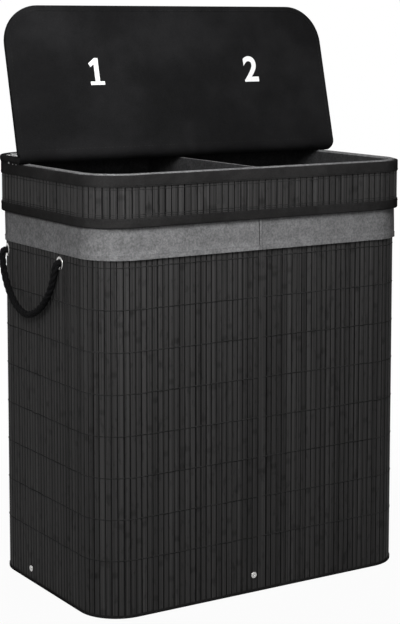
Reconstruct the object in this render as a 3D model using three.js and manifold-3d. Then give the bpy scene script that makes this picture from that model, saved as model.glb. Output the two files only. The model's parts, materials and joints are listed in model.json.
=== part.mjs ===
// A folding laundry hamper with two bins: slat walls, a cloth liner and a slip-on cap with a flap lid.
// Millimetres, +Z up. The origin is on the floor under the middle of the body, and the front faces -Y.
import * as THREE from "three";
import { mergeVertices } from "three/addons/utils/BufferGeometryUtils.js";
import Module from "manifold-3d";

const wasm = await Module();
wasm.setup();

// Overall size: the slats' outer faces, the top of the cap's collar, and the plan's round corners
const bodyWidth = 546;
const bodyDepth = 342;
const rimHeight = 635;
const cornerRadius = 60;

// Shared by all pieces
const gap = 0.3;
const overrun = 5;
const cornerSteps = 6;
const tightCornerSteps = 2;
const roundSides = 12;

// Wall: slat mats on a cloth backing, with a steel wire hoop in each edge
const slatPitch = 9;
const slatThickness = 1.6;
const grooveWidth = 1.3;
const grooveDepth = 0.9;
const backingThickness = 0.6;
const frameWireDiameter = 3.2;
const frameWireSides = 6;
const joinStripWidth = 15;
const hemThickness = 0.5;
const hemLegHeight = 12;
const bottomBindingThickness = 0.8;
const bottomBindingHeight = 4.5;

// Liner: a cuff folded over the rim, two bags and the binding on the divider between them
const cuffThickness = 0.8;
const cuffDrop = 120;
const cuffInnerLegHeight = 36;
const foldAboveRim = 1.4;
const bagThickness = 0.9;
const bagSideInset = 18.5;
const bagFrontInset = 9.4;
const bagShoulderLowDrop = 110;
const bagShoulderHighDrop = 37;
const bagTopBelowFold = 2.6;
const bagFloorRound = 18;
const bagFloorSteps = 3;
const bagInnerCornerRadius = 9;
const dividerBindingHeight = 18;

// Base board on four riveted brackets
const boardThickness = 3;
const boardHeight = 33;
const boardClearance = 2;
const bracketWidth = 16;
const bracketThickness = 1.5;
const bracketShelf = 16;
const bracketBelowRivet = 7;
const rivetHeadRadius = 4.8;
const rivetHeadHeight = 1.9;
const rivetRimHeight = 0.6;
const rivetDomeSteps = 2;
const rivetShankRadius = 1.8;
const rivetTailRadius = 3.6;
const rivetTailHeight = 1;
const frontRivetAside = 14;
const frontRivetHeight = 26;
const sideRivetFromMiddle = 49;
const sideRivetHeight = 20;

// Rope handles, one on each side, through two eyelets each
const ropeDiameter = 11;
const ropeSides = 8;
const ropeSteps = 14;
const ropeDrop = 86.5;
const ropeBottomStandoff = 15;
const ropeLoopPower = 1.8;
const eyeletBelowRim = 134;
const rearEyeletFromRear = 48.5;
const eyeletSpacing = 175;
const eyeletClearance = 0.4;
const eyeletBarrelWall = 1.1;
const eyeletFlangeWidth = 2.8;
const eyeletFlangeThickness = 1.1;
const knotRadius = 9;
const knotLength = 12;
const knotSteps = 4;

// Cap: a slat collar that slips over the cuff, and a fixed panel over its rear third
const capClearance = 0.5;
const collarHeight = 74;
const collarSlatPitch = 10.6;
const collarSlatThickness = 1.6;
const collarBackingThickness = 0.6;
const capBindingThickness = 0.8;
const capBindingInnerThickness = 0.6;
const topBindingHeight = 13.5;
const bottomBindingOnCollar = 14;
const panelSideOverhang = 2;
const weltWidth = 3.4;
const weltShortOfCorner = 8;

// Flap lid, and the make-up that it shares with the fixed panel
const hingeFromRear = 118;
const hingeEdgeGap = 1.2;
const hingeTapeRadius = 0.9;
const hingeTapeSides = 8;
const hingeTapeShort = 4;
const lidSideOverhang = 16;
const lidFrontOverhang = 7.2;
const lidFrontRadius = 60;
const squareCornerRadius = 4;
const lidOpenDegrees = 104;
const flapLiningThickness = 0.6;
const flapBoardThickness = 4.4;
const flapSlatThickness = 1.6;
const flapBindingThickness = 0.7;
const flapBindingWidth = 9;

// Places worked out from the sizes above, as distances outwards from the slats' outer faces
const hemOut = gap + hemThickness;
const cuffOut = hemOut + gap + cuffThickness;
const capInnerOut = cuffOut + capClearance;
const collarBackingOut = capInnerOut + capBindingInnerThickness + gap;
const collarSlatInnerOut = collarBackingOut + collarBackingThickness + gap;
const collarSlatOut = collarSlatInnerOut + collarSlatThickness;
const collarOut = collarSlatOut + gap + capBindingThickness;
const backingOut = -slatThickness - gap;
const wallInnerOut = backingOut - backingThickness;
const wireOut = wallInnerOut - gap - frameWireDiameter / 2;
const hemInnerOut = wireOut - frameWireDiameter / 2 - gap - hemThickness;
const cuffInnerOut = hemInnerOut - gap - cuffThickness;
const bagOut = cuffInnerOut - gap;
const eyeletFlangeRadius = ropeDiameter / 2 + eyeletClearance + eyeletBarrelWall + eyeletFlangeWidth;
const ropeAxisOut = gap + eyeletFlangeThickness + gap + ropeDiameter / 2;
const ropeAxisX = bodyWidth / 2 + ropeAxisOut;
const rearEyeletY = bodyDepth / 2 - rearEyeletFromRear;
const frontEyeletY = rearEyeletY - eyeletSpacing;
const hingeY = bodyDepth / 2 - hingeFromRear;
const lidWidth = bodyWidth + 2 * lidSideOverhang;
const lidLength = hingeY - hingeEdgeGap + bodyDepth / 2 + lidFrontOverhang;

// Heights worked out from the sizes above
const foldHeight = rimHeight + foldAboveRim;
const hemTop = foldHeight - cuffThickness - gap;
const wallTop = hemTop - hemThickness - gap;
const wallBottom = bottomBindingThickness + gap;
const collarBottom = rimHeight - collarHeight;
const cuffBottom = rimHeight - cuffDrop;
const bagShoulderLow = rimHeight - bagShoulderLowDrop;
const bagShoulderHigh = rimHeight - bagShoulderHighDrop;
const eyeletHeight = rimHeight - eyeletBelowRim;
const bagFloor = boardHeight + boardThickness + gap;
const bagTop = foldHeight - bagTopBelowFold;
const flapBottom = foldHeight + gap;
const liningBottom = flapBottom + flapBindingThickness + gap;
const flapBoardBottom = liningBottom + flapLiningThickness + gap;
const flapSlatBottom = flapBoardBottom + flapBoardThickness + gap;
const flapTop = flapSlatBottom + flapSlatThickness + gap + flapBindingThickness;
const hingeZ = flapTop + gap;

// Outlines in plan. Each is a rectangle with round corners, which ring() grows outwards or shrinks.
const bodyOutline = {
  left: -bodyWidth / 2,
  right: bodyWidth / 2,
  front: -bodyDepth / 2,
  rear: bodyDepth / 2,
  frontRadius: cornerRadius,
  rearRadius: cornerRadius,
  frontSteps: cornerSteps,
  rearSteps: cornerSteps,
};
const panelOutline = {
  left: bodyOutline.left - collarOut - panelSideOverhang,
  right: bodyOutline.right + collarOut + panelSideOverhang,
  front: hingeY + hingeEdgeGap,
  rear: bodyOutline.rear + collarOut,
  frontRadius: squareCornerRadius,
  rearRadius: cornerRadius + collarOut,
  frontSteps: tightCornerSteps,
  rearSteps: cornerSteps,
};
const lidOutline = {
  left: -lidWidth / 2,
  right: lidWidth / 2,
  front: hingeY - hingeEdgeGap - lidLength,
  rear: hingeY - hingeEdgeGap,
  frontRadius: lidFrontRadius,
  rearRadius: squareCornerRadius,
  frontSteps: cornerSteps,
  rearSteps: tightCornerSteps,
};

// Materials
function finish(color, roughness, metalness = 0) {
  return new THREE.MeshStandardMaterial({ color, roughness, metalness });
}
const stainedBamboo = finish(0x333231, 0.5);
const blackCloth = finish(0x232324, 0.9);
const blackTape = finish(0x2b2b2c, 0.85);
const greyCloth = finish(0x777777, 0.95);
const blackRope = finish(0x1a1a1b, 0.85);
const nickel = finish(0xc9c9c9, 0.25, 1);
const steelWire = finish(0x8a8a8a, 0.4, 1);
const greyBoard = finish(0x6d665c, 0.9);

// Booleans
function toSolid(geometry) {
  const bare = geometry.index ? geometry.clone() : mergeVertices(geometry.clone());
  bare.deleteAttribute("normal");
  bare.deleteAttribute("uv");
  const merged = mergeVertices(bare);
  return new wasm.Manifold(
    new wasm.Mesh({
      numProp: 3,
      vertProperties: merged.attributes.position.array,
      triVerts: new Uint32Array(merged.index.array),
    }),
  );
}
function toGeometry(solid) {
  const mesh = solid.getMesh();
  const geometry = new THREE.BufferGeometry();
  geometry.setAttribute("position", new THREE.BufferAttribute(mesh.vertProperties, 3));
  geometry.setIndex(new THREE.BufferAttribute(mesh.triVerts, 1));
  geometry.computeVertexNormals();
  return geometry;
}
function cutAll(geometry, cutters) {
  const cut = cutters.reduce((solid, cutter) => solid.subtract(toSolid(cutter)), toSolid(geometry));
  return toGeometry(cut);
}

// The points of an outline grown outwards by `out`, anticlockwise from its front left corner.
// Corner points stand a little outside the arc, so that the flats between them touch it.
function ring(outline, out = 0) {
  const corners = [
    [outline.left, outline.front, 1, 1, outline.frontRadius, outline.frontSteps, Math.PI],
    [outline.right, outline.front, -1, 1, outline.frontRadius, outline.frontSteps, 1.5 * Math.PI],
    [outline.right, outline.rear, -1, -1, outline.rearRadius, outline.rearSteps, 0],
    [outline.left, outline.rear, 1, -1, outline.rearRadius, outline.rearSteps, 0.5 * Math.PI],
  ];
  return corners.flatMap(([x, y, towardsX, towardsY, radius, steps, start]) => {
    const grown = (radius + out) / Math.cos(Math.PI / 4 / steps);
    return Array.from({ length: steps }, (_, k) => {
      const angle = start + ((k + 0.5) * Math.PI) / 2 / steps;
      return new THREE.Vector2(
        x + towardsX * radius + grown * Math.cos(angle),
        y + towardsY * radius + grown * Math.sin(angle),
      );
    });
  });
}

// Joins rings of points in space into one closed surface. A wrapped one joins its last ring to its first.
function skin(rings, wrapped) {
  const count = rings[0].length;
  const positions = rings.flat().flatMap((p) => [p.x, p.y, p.z]);
  const index = [];
  const bands = wrapped ? rings.length : rings.length - 1;
  for (let i = 0; i < bands; i++) {
    for (let j = 0; j < count; j++) {
      const here = i * count;
      const above = ((i + 1) % rings.length) * count;
      const next = (j + 1) % count;
      index.push(here + j, here + next, above + next, here + j, above + next, above + j);
    }
  }
  if (!wrapped) {
    const last = (rings.length - 1) * count;
    for (let j = 1; j < count - 1; j++) {
      index.push(0, j + 1, j, last, last + j, last + j + 1);
    }
  }
  const geometry = new THREE.BufferGeometry();
  geometry.setAttribute("position", new THREE.Float32BufferAttribute(positions, 3));
  geometry.setIndex(index);
  geometry.computeVertexNormals();
  return geometry;
}

// A hoop that follows an outline. Its section is a list of [out, z], anticlockwise with out to the right.
function hoop(outline, section) {
  const rings = section.map(([out, z]) => ring(outline, out).map((p) => new THREE.Vector3(p.x, p.y, z)));
  return skin(rings, true);
}
function band(outer, inner, low, high) {
  return [
    [outer, low],
    [outer, high],
    [inner, high],
    [inner, low],
  ];
}
// A section that straddles a top edge
function saddle(outer, outerThickness, inner, innerThickness, top, webThickness, outerLow, innerLow) {
  return [
    [outer, outerLow],
    [outer, top],
    [inner, top],
    [inner, innerLow],
    [inner + innerThickness, innerLow],
    [inner + innerThickness, top - webThickness],
    [outer - outerThickness, top - webThickness],
    [outer - outerThickness, outerLow],
  ];
}
// A section that wraps a bottom edge
function cradle(outer, outerThickness, inner, innerThickness, bottom, webThickness, high) {
  return [
    [outer, bottom],
    [outer, high],
    [outer - outerThickness, high],
    [outer - outerThickness, bottom + webThickness],
    [inner + innerThickness, bottom + webThickness],
    [inner + innerThickness, high],
    [inner, high],
    [inner, bottom],
  ];
}
// A section that wraps the outer edge of a flat panel
function edging(thickness, width, low, high) {
  return [
    [0, low],
    [0, high],
    [-width, high],
    [-width, high - thickness],
    [-thickness, high - thickness],
    [-thickness, low + thickness],
    [-width, low + thickness],
    [-width, low],
  ];
}
function wireSection(out, z) {
  return Array.from({ length: frameWireSides }, (_, k) => {
    const angle = (k * 2 * Math.PI) / frameWireSides;
    return [
      out + (frameWireDiameter / 2) * Math.cos(angle),
      z + (frameWireDiameter / 2) * Math.sin(angle),
    ];
  });
}

// Extrusions from the plan, from z = low to z = high
function extrudeUp(shape, low, high) {
  return new THREE.ExtrudeGeometry(shape, { depth: high - low, bevelEnabled: false }).translate(0, 0, low);
}
function plate(outline, out, low, high) {
  return extrudeUp(new THREE.Shape(ring(outline, out)), low, high);
}

// Where a distance along the outline's true edge lies, and which way it faces.
// Distances run anticlockwise from the middle of the front.
function outlineAt(width, depth, radius, along) {
  const halfFront = width / 2 - radius;
  const side = depth - 2 * radius;
  const arc = (radius * Math.PI) / 2;
  const stretches = [
    [halfFront, 0, -depth / 2, 0],
    [arc, halfFront, -depth / 2 + radius, -Math.PI / 2],
    [side, width / 2, -side / 2, Math.PI / 2],
    [arc, halfFront, side / 2, 0],
    [2 * halfFront, halfFront, depth / 2, Math.PI],
    [arc, -halfFront, side / 2, Math.PI / 2],
    [side, -width / 2, side / 2, -Math.PI / 2],
    [arc, -halfFront, -side / 2, Math.PI],
    [halfFront, -halfFront, -depth / 2, 0],
  ];
  let rest = along;
  let k = 0;
  while (k < stretches.length - 1 && rest > stretches[k][0]) {
    rest -= stretches[k][0];
    k += 1;
  }
  const [, x, y, angle] = stretches[k];
  if (k % 2 === 1) {
    const turned = angle + rest / radius;
    const outwards = new THREE.Vector2(Math.cos(turned), Math.sin(turned));
    return { point: new THREE.Vector2(x, y).addScaledVector(outwards, radius), outwards };
  }
  const forwards = new THREE.Vector2(Math.cos(angle), Math.sin(angle));
  const outwards = new THREE.Vector2(forwards.y, -forwards.x);
  return { point: new THREE.Vector2(x, y).addScaledVector(forwards, rest), outwards };
}
function perimeter(width, depth, radius) {
  return 2 * (width + depth) - 8 * radius + 2 * Math.PI * radius;
}

// The outer edge of a row of slats between two distances along an outline, with a groove between slats
function slatEdge(width, depth, radius, from, to, pitch, closed) {
  const count = Math.round((to - from) / pitch);
  const step = (to - from) / count;
  const points = [];
  for (let k = 0; k < count; k++) {
    const start = from + k * step;
    const end = start + step;
    points.push(outlineAt(width, depth, radius, start + grooveWidth / 2).point);
    points.push(outlineAt(width, depth, radius, end - grooveWidth / 2).point);
    if (closed || k < count - 1) {
      const { point, outwards } = outlineAt(width, depth, radius, end);
      points.push(point.addScaledVector(outwards, -grooveDepth));
    }
  }
  return points;
}

// One half of the wall: slats from the front join strip round one side to the back one, as a C in plan
function slatMat(side) {
  const total = perimeter(bodyWidth, bodyDepth, cornerRadius);
  const clear = joinStripWidth / 2 + gap;
  const start = side > 0 ? clear : total / 2 + clear;
  const outer = slatEdge(
    bodyWidth,
    bodyDepth,
    cornerRadius,
    start,
    start + total / 2 - 2 * clear,
    slatPitch,
    false,
  );
  const half = ring(bodyOutline, -slatThickness).filter((p) => p.x * side > 0);
  const along = side > 0 ? half : [...half.slice(half.length / 2), ...half.slice(0, half.length / 2)];
  const [first, last] = [side, -side].map(
    (way) => new THREE.Vector2(side * clear, way * (bodyDepth / 2 - slatThickness)),
  );
  return extrudeUp(new THREE.Shape([...outer, first, ...along.reverse(), last]), wallBottom, wallTop);
}

// The plain strip that covers the join between the two mats
function joinStrip(side) {
  const middle = side * (bodyDepth / 2 - slatThickness / 2);
  const shape = new THREE.Shape([
    new THREE.Vector2(-joinStripWidth / 2, middle - slatThickness / 2),
    new THREE.Vector2(joinStripWidth / 2, middle - slatThickness / 2),
    new THREE.Vector2(joinStripWidth / 2, middle + slatThickness / 2),
    new THREE.Vector2(-joinStripWidth / 2, middle + slatThickness / 2),
  ]);
  return extrudeUp(shape, wallBottom, wallTop);
}

// The collar's slats, as one closed ring in plan
function collarSlats() {
  const width = bodyWidth + 2 * collarSlatOut;
  const depth = bodyDepth + 2 * collarSlatOut;
  const radius = cornerRadius + collarSlatOut;
  const edge = slatEdge(width, depth, radius, 0, perimeter(width, depth, radius), collarSlatPitch, true);
  const shape = new THREE.Shape(edge);
  shape.holes.push(new THREE.Path(ring(bodyOutline, collarSlatInnerOut).reverse()));
  return extrudeUp(
    shape,
    collarBottom + capBindingThickness + gap,
    rimHeight - capBindingThickness - gap,
  );
}

// Slats that run from front to back over a flat panel, cut to its outline
function flatSlats(outline, inset) {
  const width = outline.right - outline.left;
  const count = Math.round(width / collarSlatPitch);
  const step = width / count;
  const points = [new THREE.Vector2(outline.right, 0), new THREE.Vector2(outline.right, flapSlatThickness)];
  for (let k = count - 1; k > 0; k--) {
    const middle = outline.left + k * step;
    points.push(new THREE.Vector2(middle + grooveWidth / 2, flapSlatThickness));
    points.push(new THREE.Vector2(middle, flapSlatThickness - grooveDepth));
    points.push(new THREE.Vector2(middle - grooveWidth / 2, flapSlatThickness));
  }
  points.push(new THREE.Vector2(outline.left, flapSlatThickness), new THREE.Vector2(outline.left, 0));
  const depth = outline.rear - outline.front;
  const row = new THREE.ExtrudeGeometry(new THREE.Shape(points), { depth, bevelEnabled: false })
    .rotateX(Math.PI / 2)
    .translate(0, outline.rear, flapSlatBottom);
  const top = flapSlatBottom + flapSlatThickness;
  const cutter = plate(outline, inset, flapSlatBottom - overrun, top + overrun);
  return toGeometry(toSolid(row).intersect(toSolid(cutter)));
}

// A bag's outline on one side of the divider, drawn in from the wall, and by `wall` more for its inside
function bagRing(side, sideInset, frontInset, wall, z) {
  const outerX = bodyWidth / 2 - sideInset - wall;
  const innerX = gap / 2 + wall;
  const y = bodyDepth / 2 - frontInset - wall;
  const outerRadius = cornerRadius - Math.max(sideInset, frontInset) - wall;
  const innerRadius = bagInnerCornerRadius - wall;
  const corner = (x, yEdge, towardsX, towardsY, radius, steps, start) =>
    Array.from({ length: steps + 1 }, (_, k) => {
      const angle = start + (k * Math.PI) / 2 / steps;
      return new THREE.Vector3(
        x + towardsX * radius + radius * Math.cos(angle),
        yEdge + towardsY * radius + radius * Math.sin(angle),
        z,
      );
    });
  const points = [
    ...corner(innerX, -y, 1, 1, innerRadius, tightCornerSteps, Math.PI),
    ...corner(outerX, -y, -1, 1, outerRadius, cornerSteps, 1.5 * Math.PI),
    ...corner(outerX, y, -1, -1, outerRadius, cornerSteps, 0),
    ...corner(innerX, y, 1, -1, innerRadius, tightCornerSteps, 0.5 * Math.PI),
  ];
  if (side > 0) {
    return points;
  }
  return points.map((p) => new THREE.Vector3(-p.x, p.y, p.z)).reverse();
}
function bag(side) {
  const floorRound = (wall) =>
    Array.from({ length: bagFloorSteps + 1 }, (_, k) => {
      const angle = (k * Math.PI) / 2 / bagFloorSteps;
      const radius = bagFloorRound - wall;
      const drawnIn = radius * (1 - Math.sin(angle));
      const z = bagFloor + wall + radius * (1 - Math.cos(angle));
      return [bagSideInset + drawnIn, bagFrontInset + drawnIn, z];
    });
  const shell = (wall) =>
    [
      ...floorRound(wall),
      [bagSideInset, bagFrontInset, bagShoulderLow],
      [-bagOut, -bagOut, bagShoulderHigh],
      [-bagOut, -bagOut, bagTop],
    ].map(([sideInset, frontInset, z]) => bagRing(side, sideInset, frontInset, wall, z));
  return skin([...shell(0), ...shell(bagThickness).reverse()], false);
}

// The binding over the tops of the bags' two middle walls
function dividerBinding() {
  const wallsHalf = gap / 2 + bagThickness;
  const inner = wallsHalf + gap;
  const outer = inner + cuffThickness;
  const top = bagTop + gap + cuffThickness;
  const low = top - dividerBindingHeight;
  const half = bodyDepth / 2 + bagOut - bagInnerCornerRadius;
  const shape = new THREE.Shape([
    new THREE.Vector2(outer, low),
    new THREE.Vector2(outer, top),
    new THREE.Vector2(-outer, top),
    new THREE.Vector2(-outer, low),
    new THREE.Vector2(-inner, low),
    new THREE.Vector2(-inner, top - cuffThickness),
    new THREE.Vector2(inner, top - cuffThickness),
    new THREE.Vector2(inner, low),
  ]);
  return new THREE.ExtrudeGeometry(shape, { depth: 2 * half, bevelEnabled: false })
    .rotateX(Math.PI / 2)
    .translate(0, half, 0);
}

// Small pieces are made with the wall's outer face at y = 0, outwards +Y and up +Z, then set on the wall
function turned(profile) {
  return new THREE.LatheGeometry(
    profile.map(([radius, y]) => new THREE.Vector2(radius, y)),
    roundSides,
  );
}
function drill(radius) {
  return new THREE.CylinderGeometry(radius, radius, cornerRadius, roundSides);
}
function setOn(geometry, spot) {
  return geometry.clone().rotateZ(spot.turn).translate(spot.x, spot.y, spot.z);
}

function rivet() {
  const inner = wallInnerOut - gap - bracketThickness - gap;
  const dome = Array.from({ length: rivetDomeSteps }, (_, k) => {
    const angle = (k * Math.PI) / 2 / rivetDomeSteps;
    const rise = (rivetHeadHeight - rivetRimHeight) * Math.sin(angle);
    return [rivetHeadRadius * Math.cos(angle), gap + rivetRimHeight + rise];
  });
  return turned([
    [0, inner - rivetTailHeight],
    [rivetTailRadius, inner - rivetTailHeight],
    [rivetTailRadius, inner],
    [rivetShankRadius, inner],
    [rivetShankRadius, gap],
    [rivetHeadRadius, gap],
    ...dome,
    [0, gap + rivetHeadHeight],
  ]);
}
function bracket(rivetHeight) {
  const face = wallInnerOut - gap;
  const top = boardHeight - gap - rivetHeight;
  const shape = new THREE.Shape([
    new THREE.Vector2(face, -bracketBelowRivet),
    new THREE.Vector2(face, top),
    new THREE.Vector2(face - bracketShelf, top),
    new THREE.Vector2(face - bracketShelf, top - bracketThickness),
    new THREE.Vector2(face - bracketThickness, top - bracketThickness),
    new THREE.Vector2(face - bracketThickness, -bracketBelowRivet),
  ]);
  const angle = new THREE.ExtrudeGeometry(shape, { depth: bracketWidth, bevelEnabled: false })
    .translate(0, 0, -bracketWidth / 2)
    .rotateY(Math.PI / 2)
    .rotateX(Math.PI / 2);
  return cutAll(angle, [drill(rivetShankRadius + gap)]);
}
// Where an eyelet's inner flange seats: deeper on the wall's curve, which bends away from a flat flange
function eyeletInside(spot) {
  const curve = spot.tilt > 0 ? cornerRadius - Math.sqrt(cornerRadius ** 2 - eyeletFlangeRadius ** 2) : 0;
  return wallInnerOut - gap - curve;
}
function eyelet(spot) {
  const bore = ropeDiameter / 2 + eyeletClearance;
  const barrel = bore + eyeletBarrelWall;
  const flange = eyeletFlangeRadius;
  const inside = eyeletInside(spot);
  return turned([
    [bore, inside - eyeletFlangeThickness],
    [flange, inside - eyeletFlangeThickness],
    [flange, inside],
    [barrel, inside],
    [barrel, gap],
    [flange, gap],
    [flange, gap + eyeletFlangeThickness / 2],
    [flange - eyeletFlangeThickness / 2, gap + eyeletFlangeThickness],
    [bore, gap + eyeletFlangeThickness],
    [bore, inside - eyeletFlangeThickness],
  ]);
}
// The rope's end inside the wall: a knot, and the short stretch through the eyelet
function ropeKnot(spot) {
  const radius = ropeDiameter / 2;
  const start = eyeletInside(spot) - eyeletFlangeThickness - gap;
  const outerEnd = pivotOut(spot) - radius - gap;
  const meets = Math.PI - Math.asin(radius / knotRadius);
  const centre = start + (knotLength / 2) * Math.cos(meets);
  const knot = Array.from({ length: knotSteps + 1 }, (_, k) => {
    const angle = (k * meets) / knotSteps;
    return [knotRadius * Math.sin(angle), centre - (knotLength / 2) * Math.cos(angle)];
  });
  return turned([...knot, [radius, outerEnd], [0, outerEnd]]);
}

// Where a height and a place along a side wall lie, and how the wall is turned there.
// Past the flat stretch the wall has begun its rear corner.
function sideSpot(side, y, z) {
  const past = Math.max(Math.abs(y) - (bodyDepth / 2 - cornerRadius), 0);
  const tilt = Math.asin(past / cornerRadius);
  const x = bodyWidth / 2 - cornerRadius * (1 - Math.cos(tilt));
  return { x: side * x, y, z, turn: -side * (Math.PI / 2 - Math.sign(y) * tilt), tilt };
}
// How far along the eyelet's own axis the rope's pivot lies
function pivotOut(spot) {
  return (ropeAxisX - Math.abs(spot.x)) / Math.cos(spot.tilt);
}

// The rope outside the wall: a hanging loop between two pivots, with a round end at each
class RopeLoop extends THREE.Curve {
  constructor(side, front, rear) {
    super();
    Object.assign(this, { side, middle: (front + rear) / 2, half: (rear - front) / 2 });
  }
  getPoint(share, target = new THREE.Vector3()) {
    const angle = Math.PI * share;
    const across = -Math.sign(Math.cos(angle)) * Math.abs(Math.cos(angle)) ** (2 / ropeLoopPower);
    const down = Math.sin(angle) ** (2 / ropeLoopPower);
    const out = ropeAxisOut + (ropeBottomStandoff - ropeAxisOut) * down;
    return target.set(
      this.side * (bodyWidth / 2 + out),
      this.middle + this.half * across,
      eyeletHeight - ropeDrop * down,
    );
  }
}
function ropeHandle(side) {
  const radius = ropeDiameter / 2;
  const rearSpot = sideSpot(side, rearEyeletY, eyeletHeight);
  const rearPivotY = rearEyeletY + pivotOut(rearSpot) * Math.sin(rearSpot.tilt);
  const path = new RopeLoop(side, frontEyeletY, rearPivotY);
  const section = Array.from({ length: ropeSides }, (_, k) => {
    const angle = (k * 2 * Math.PI) / ropeSides;
    return new THREE.Vector2(radius * Math.cos(angle), radius * Math.sin(angle));
  });
  const tube = new THREE.ExtrudeGeometry(new THREE.Shape(section), { steps: ropeSteps, extrudePath: path });
  const ends = [frontEyeletY, rearPivotY].map((y) =>
    new THREE.SphereGeometry(radius, ropeSides, ropeSides / 2).translate(side * ropeAxisX, y, eyeletHeight),
  );
  const joined = ends.reduce((solid, end) => solid.add(toSolid(end)), toSolid(tube));
  console.log("rope loop length, mm:", path.getLength().toFixed(1));
  return toGeometry(joined);
}

// Spots on the wall
const rivetSpots = {
  front: { x: -frontRivetAside, y: -bodyDepth / 2, z: frontRivetHeight, turn: Math.PI },
  rear: { x: frontRivetAside, y: bodyDepth / 2, z: frontRivetHeight, turn: 0 },
  left: sideSpot(-1, sideRivetFromMiddle, sideRivetHeight),
  right: sideSpot(1, sideRivetFromMiddle, sideRivetHeight),
};
const eyeletSpots = {
  left_front: sideSpot(-1, frontEyeletY, eyeletHeight),
  left_rear: sideSpot(-1, rearEyeletY, eyeletHeight),
  right_front: sideSpot(1, frontEyeletY, eyeletHeight),
  right_rear: sideSpot(1, rearEyeletY, eyeletHeight),
};
const eyeletHoleRadius = ropeDiameter / 2 + eyeletClearance + eyeletBarrelWall + gap;
const wallHoles = (keep) => [
  ...Object.values(rivetSpots).filter(keep).map((spot) => setOn(drill(rivetShankRadius + gap), spot)),
  ...Object.values(eyeletSpots).filter(keep).map((spot) => setOn(drill(eyeletHoleRadius), spot)),
];

// Scene graph
const hamper = new THREE.Group();
function add(parent, name, geometry, material) {
  const mesh = new THREE.Mesh(geometry, material);
  mesh.name = name;
  parent.add(mesh);
  return mesh;
}

function addWall(parent) {
  add(parent, "left_slat_mat", cutAll(slatMat(-1), wallHoles((spot) => spot.x < 0)), stainedBamboo);
  add(parent, "right_slat_mat", cutAll(slatMat(1), wallHoles((spot) => spot.x > 0)), stainedBamboo);
  add(parent, "front_join_strip", joinStrip(-1), stainedBamboo);
  add(parent, "rear_join_strip", joinStrip(1), stainedBamboo);
  const backing = hoop(bodyOutline, band(backingOut, wallInnerOut, wallBottom, wallTop));
  add(parent, "wall_backing", cutAll(backing, wallHoles(() => true)), blackCloth);
  const wireRadius = frameWireDiameter / 2;
  const topWire = wireSection(wireOut, wallTop - wireRadius);
  add(parent, "top_frame_wire", hoop(bodyOutline, topWire), steelWire);
  const bottomWire = wireSection(wireOut, wallBottom + wireRadius);
  add(parent, "bottom_frame_wire", hoop(bodyOutline, bottomWire), steelWire);
  const hem = saddle(
    hemOut,
    hemThickness,
    hemInnerOut,
    hemThickness,
    hemTop,
    hemThickness,
    hemTop - hemLegHeight,
    hemTop - hemLegHeight,
  );
  add(parent, "top_hem", hoop(bodyOutline, hem), blackTape);
  const foot = cradle(
    gap + bottomBindingThickness,
    bottomBindingThickness,
    hemInnerOut,
    hemThickness,
    0,
    bottomBindingThickness,
    bottomBindingHeight,
  );
  add(parent, "bottom_edge_binding", hoop(bodyOutline, foot), blackTape);
}

function addBase(parent) {
  const inset = wallInnerOut - boardClearance;
  const board = plate(bodyOutline, inset, boardHeight, boardHeight + boardThickness);
  add(parent, "base_board", board, greyBoard);
  for (const [place, spot] of Object.entries(rivetSpots)) {
    add(parent, "base_bracket_" + place, setOn(bracket(spot.z), spot), steelWire);
    add(parent, "rivet_" + place, setOn(rivet(), spot), nickel);
  }
}

function addRopeFittings(parent) {
  for (const [place, spot] of Object.entries(eyeletSpots)) {
    add(parent, "eyelet_" + place, setOn(eyelet(spot), spot), nickel);
    add(parent, "rope_knot_" + place, setOn(ropeKnot(spot), spot), blackRope);
  }
  add(parent, "left_rope_handle", ropeHandle(-1), blackRope);
  add(parent, "right_rope_handle", ropeHandle(1), blackRope);
}

function addLiner(parent) {
  const cuff = saddle(
    cuffOut,
    cuffThickness,
    cuffInnerOut,
    cuffThickness,
    foldHeight,
    cuffThickness,
    cuffBottom,
    foldHeight - cuffInnerLegHeight,
  );
  add(parent, "liner_cuff", hoop(bodyOutline, cuff), greyCloth);
  add(parent, "left_bag", bag(-1), greyCloth);
  add(parent, "right_bag", bag(1), greyCloth);
  add(parent, "divider_binding", dividerBinding(), greyCloth);
}

function addCollar(parent) {
  add(parent, "collar_slats", collarSlats(), stainedBamboo);
  const low = collarBottom + capBindingThickness + gap;
  const high = rimHeight - capBindingThickness - gap;
  const backing = band(collarBackingOut + collarBackingThickness, collarBackingOut, low, high);
  add(parent, "collar_backing", hoop(bodyOutline, backing), blackCloth);
  const topLow = rimHeight - topBindingHeight;
  const topSection = saddle(
    collarOut,
    capBindingThickness,
    capInnerOut,
    capBindingInnerThickness,
    rimHeight,
    capBindingThickness,
    topLow,
    topLow,
  );
  add(parent, "collar_top_binding", hoop(bodyOutline, topSection), blackTape);
  const bottomSection = cradle(
    collarOut,
    capBindingThickness,
    capInnerOut,
    capBindingInnerThickness,
    collarBottom,
    capBindingThickness,
    collarBottom + bottomBindingOnCollar,
  );
  add(parent, "collar_bottom_binding", hoop(bodyOutline, bottomSection), blackTape);
}

// The fixed panel and the flap are made up alike: lining, board and slats inside one folded edge binding
function addFlatPanel(parent, prefix, outline) {
  const inset = -flapBindingThickness - gap;
  const lining = plate(outline, inset, liningBottom, liningBottom + flapLiningThickness);
  add(parent, prefix + "_lining", lining, blackCloth);
  const board = plate(outline, inset, flapBoardBottom, flapBoardBottom + flapBoardThickness);
  add(parent, prefix + "_board", board, greyBoard);
  add(parent, prefix + "_slats", flatSlats(outline, inset), stainedBamboo);
  const section = edging(flapBindingThickness, flapBindingWidth, flapBottom, flapTop);
  add(parent, prefix + "_binding", hoop(outline, section), blackTape);
}

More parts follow.
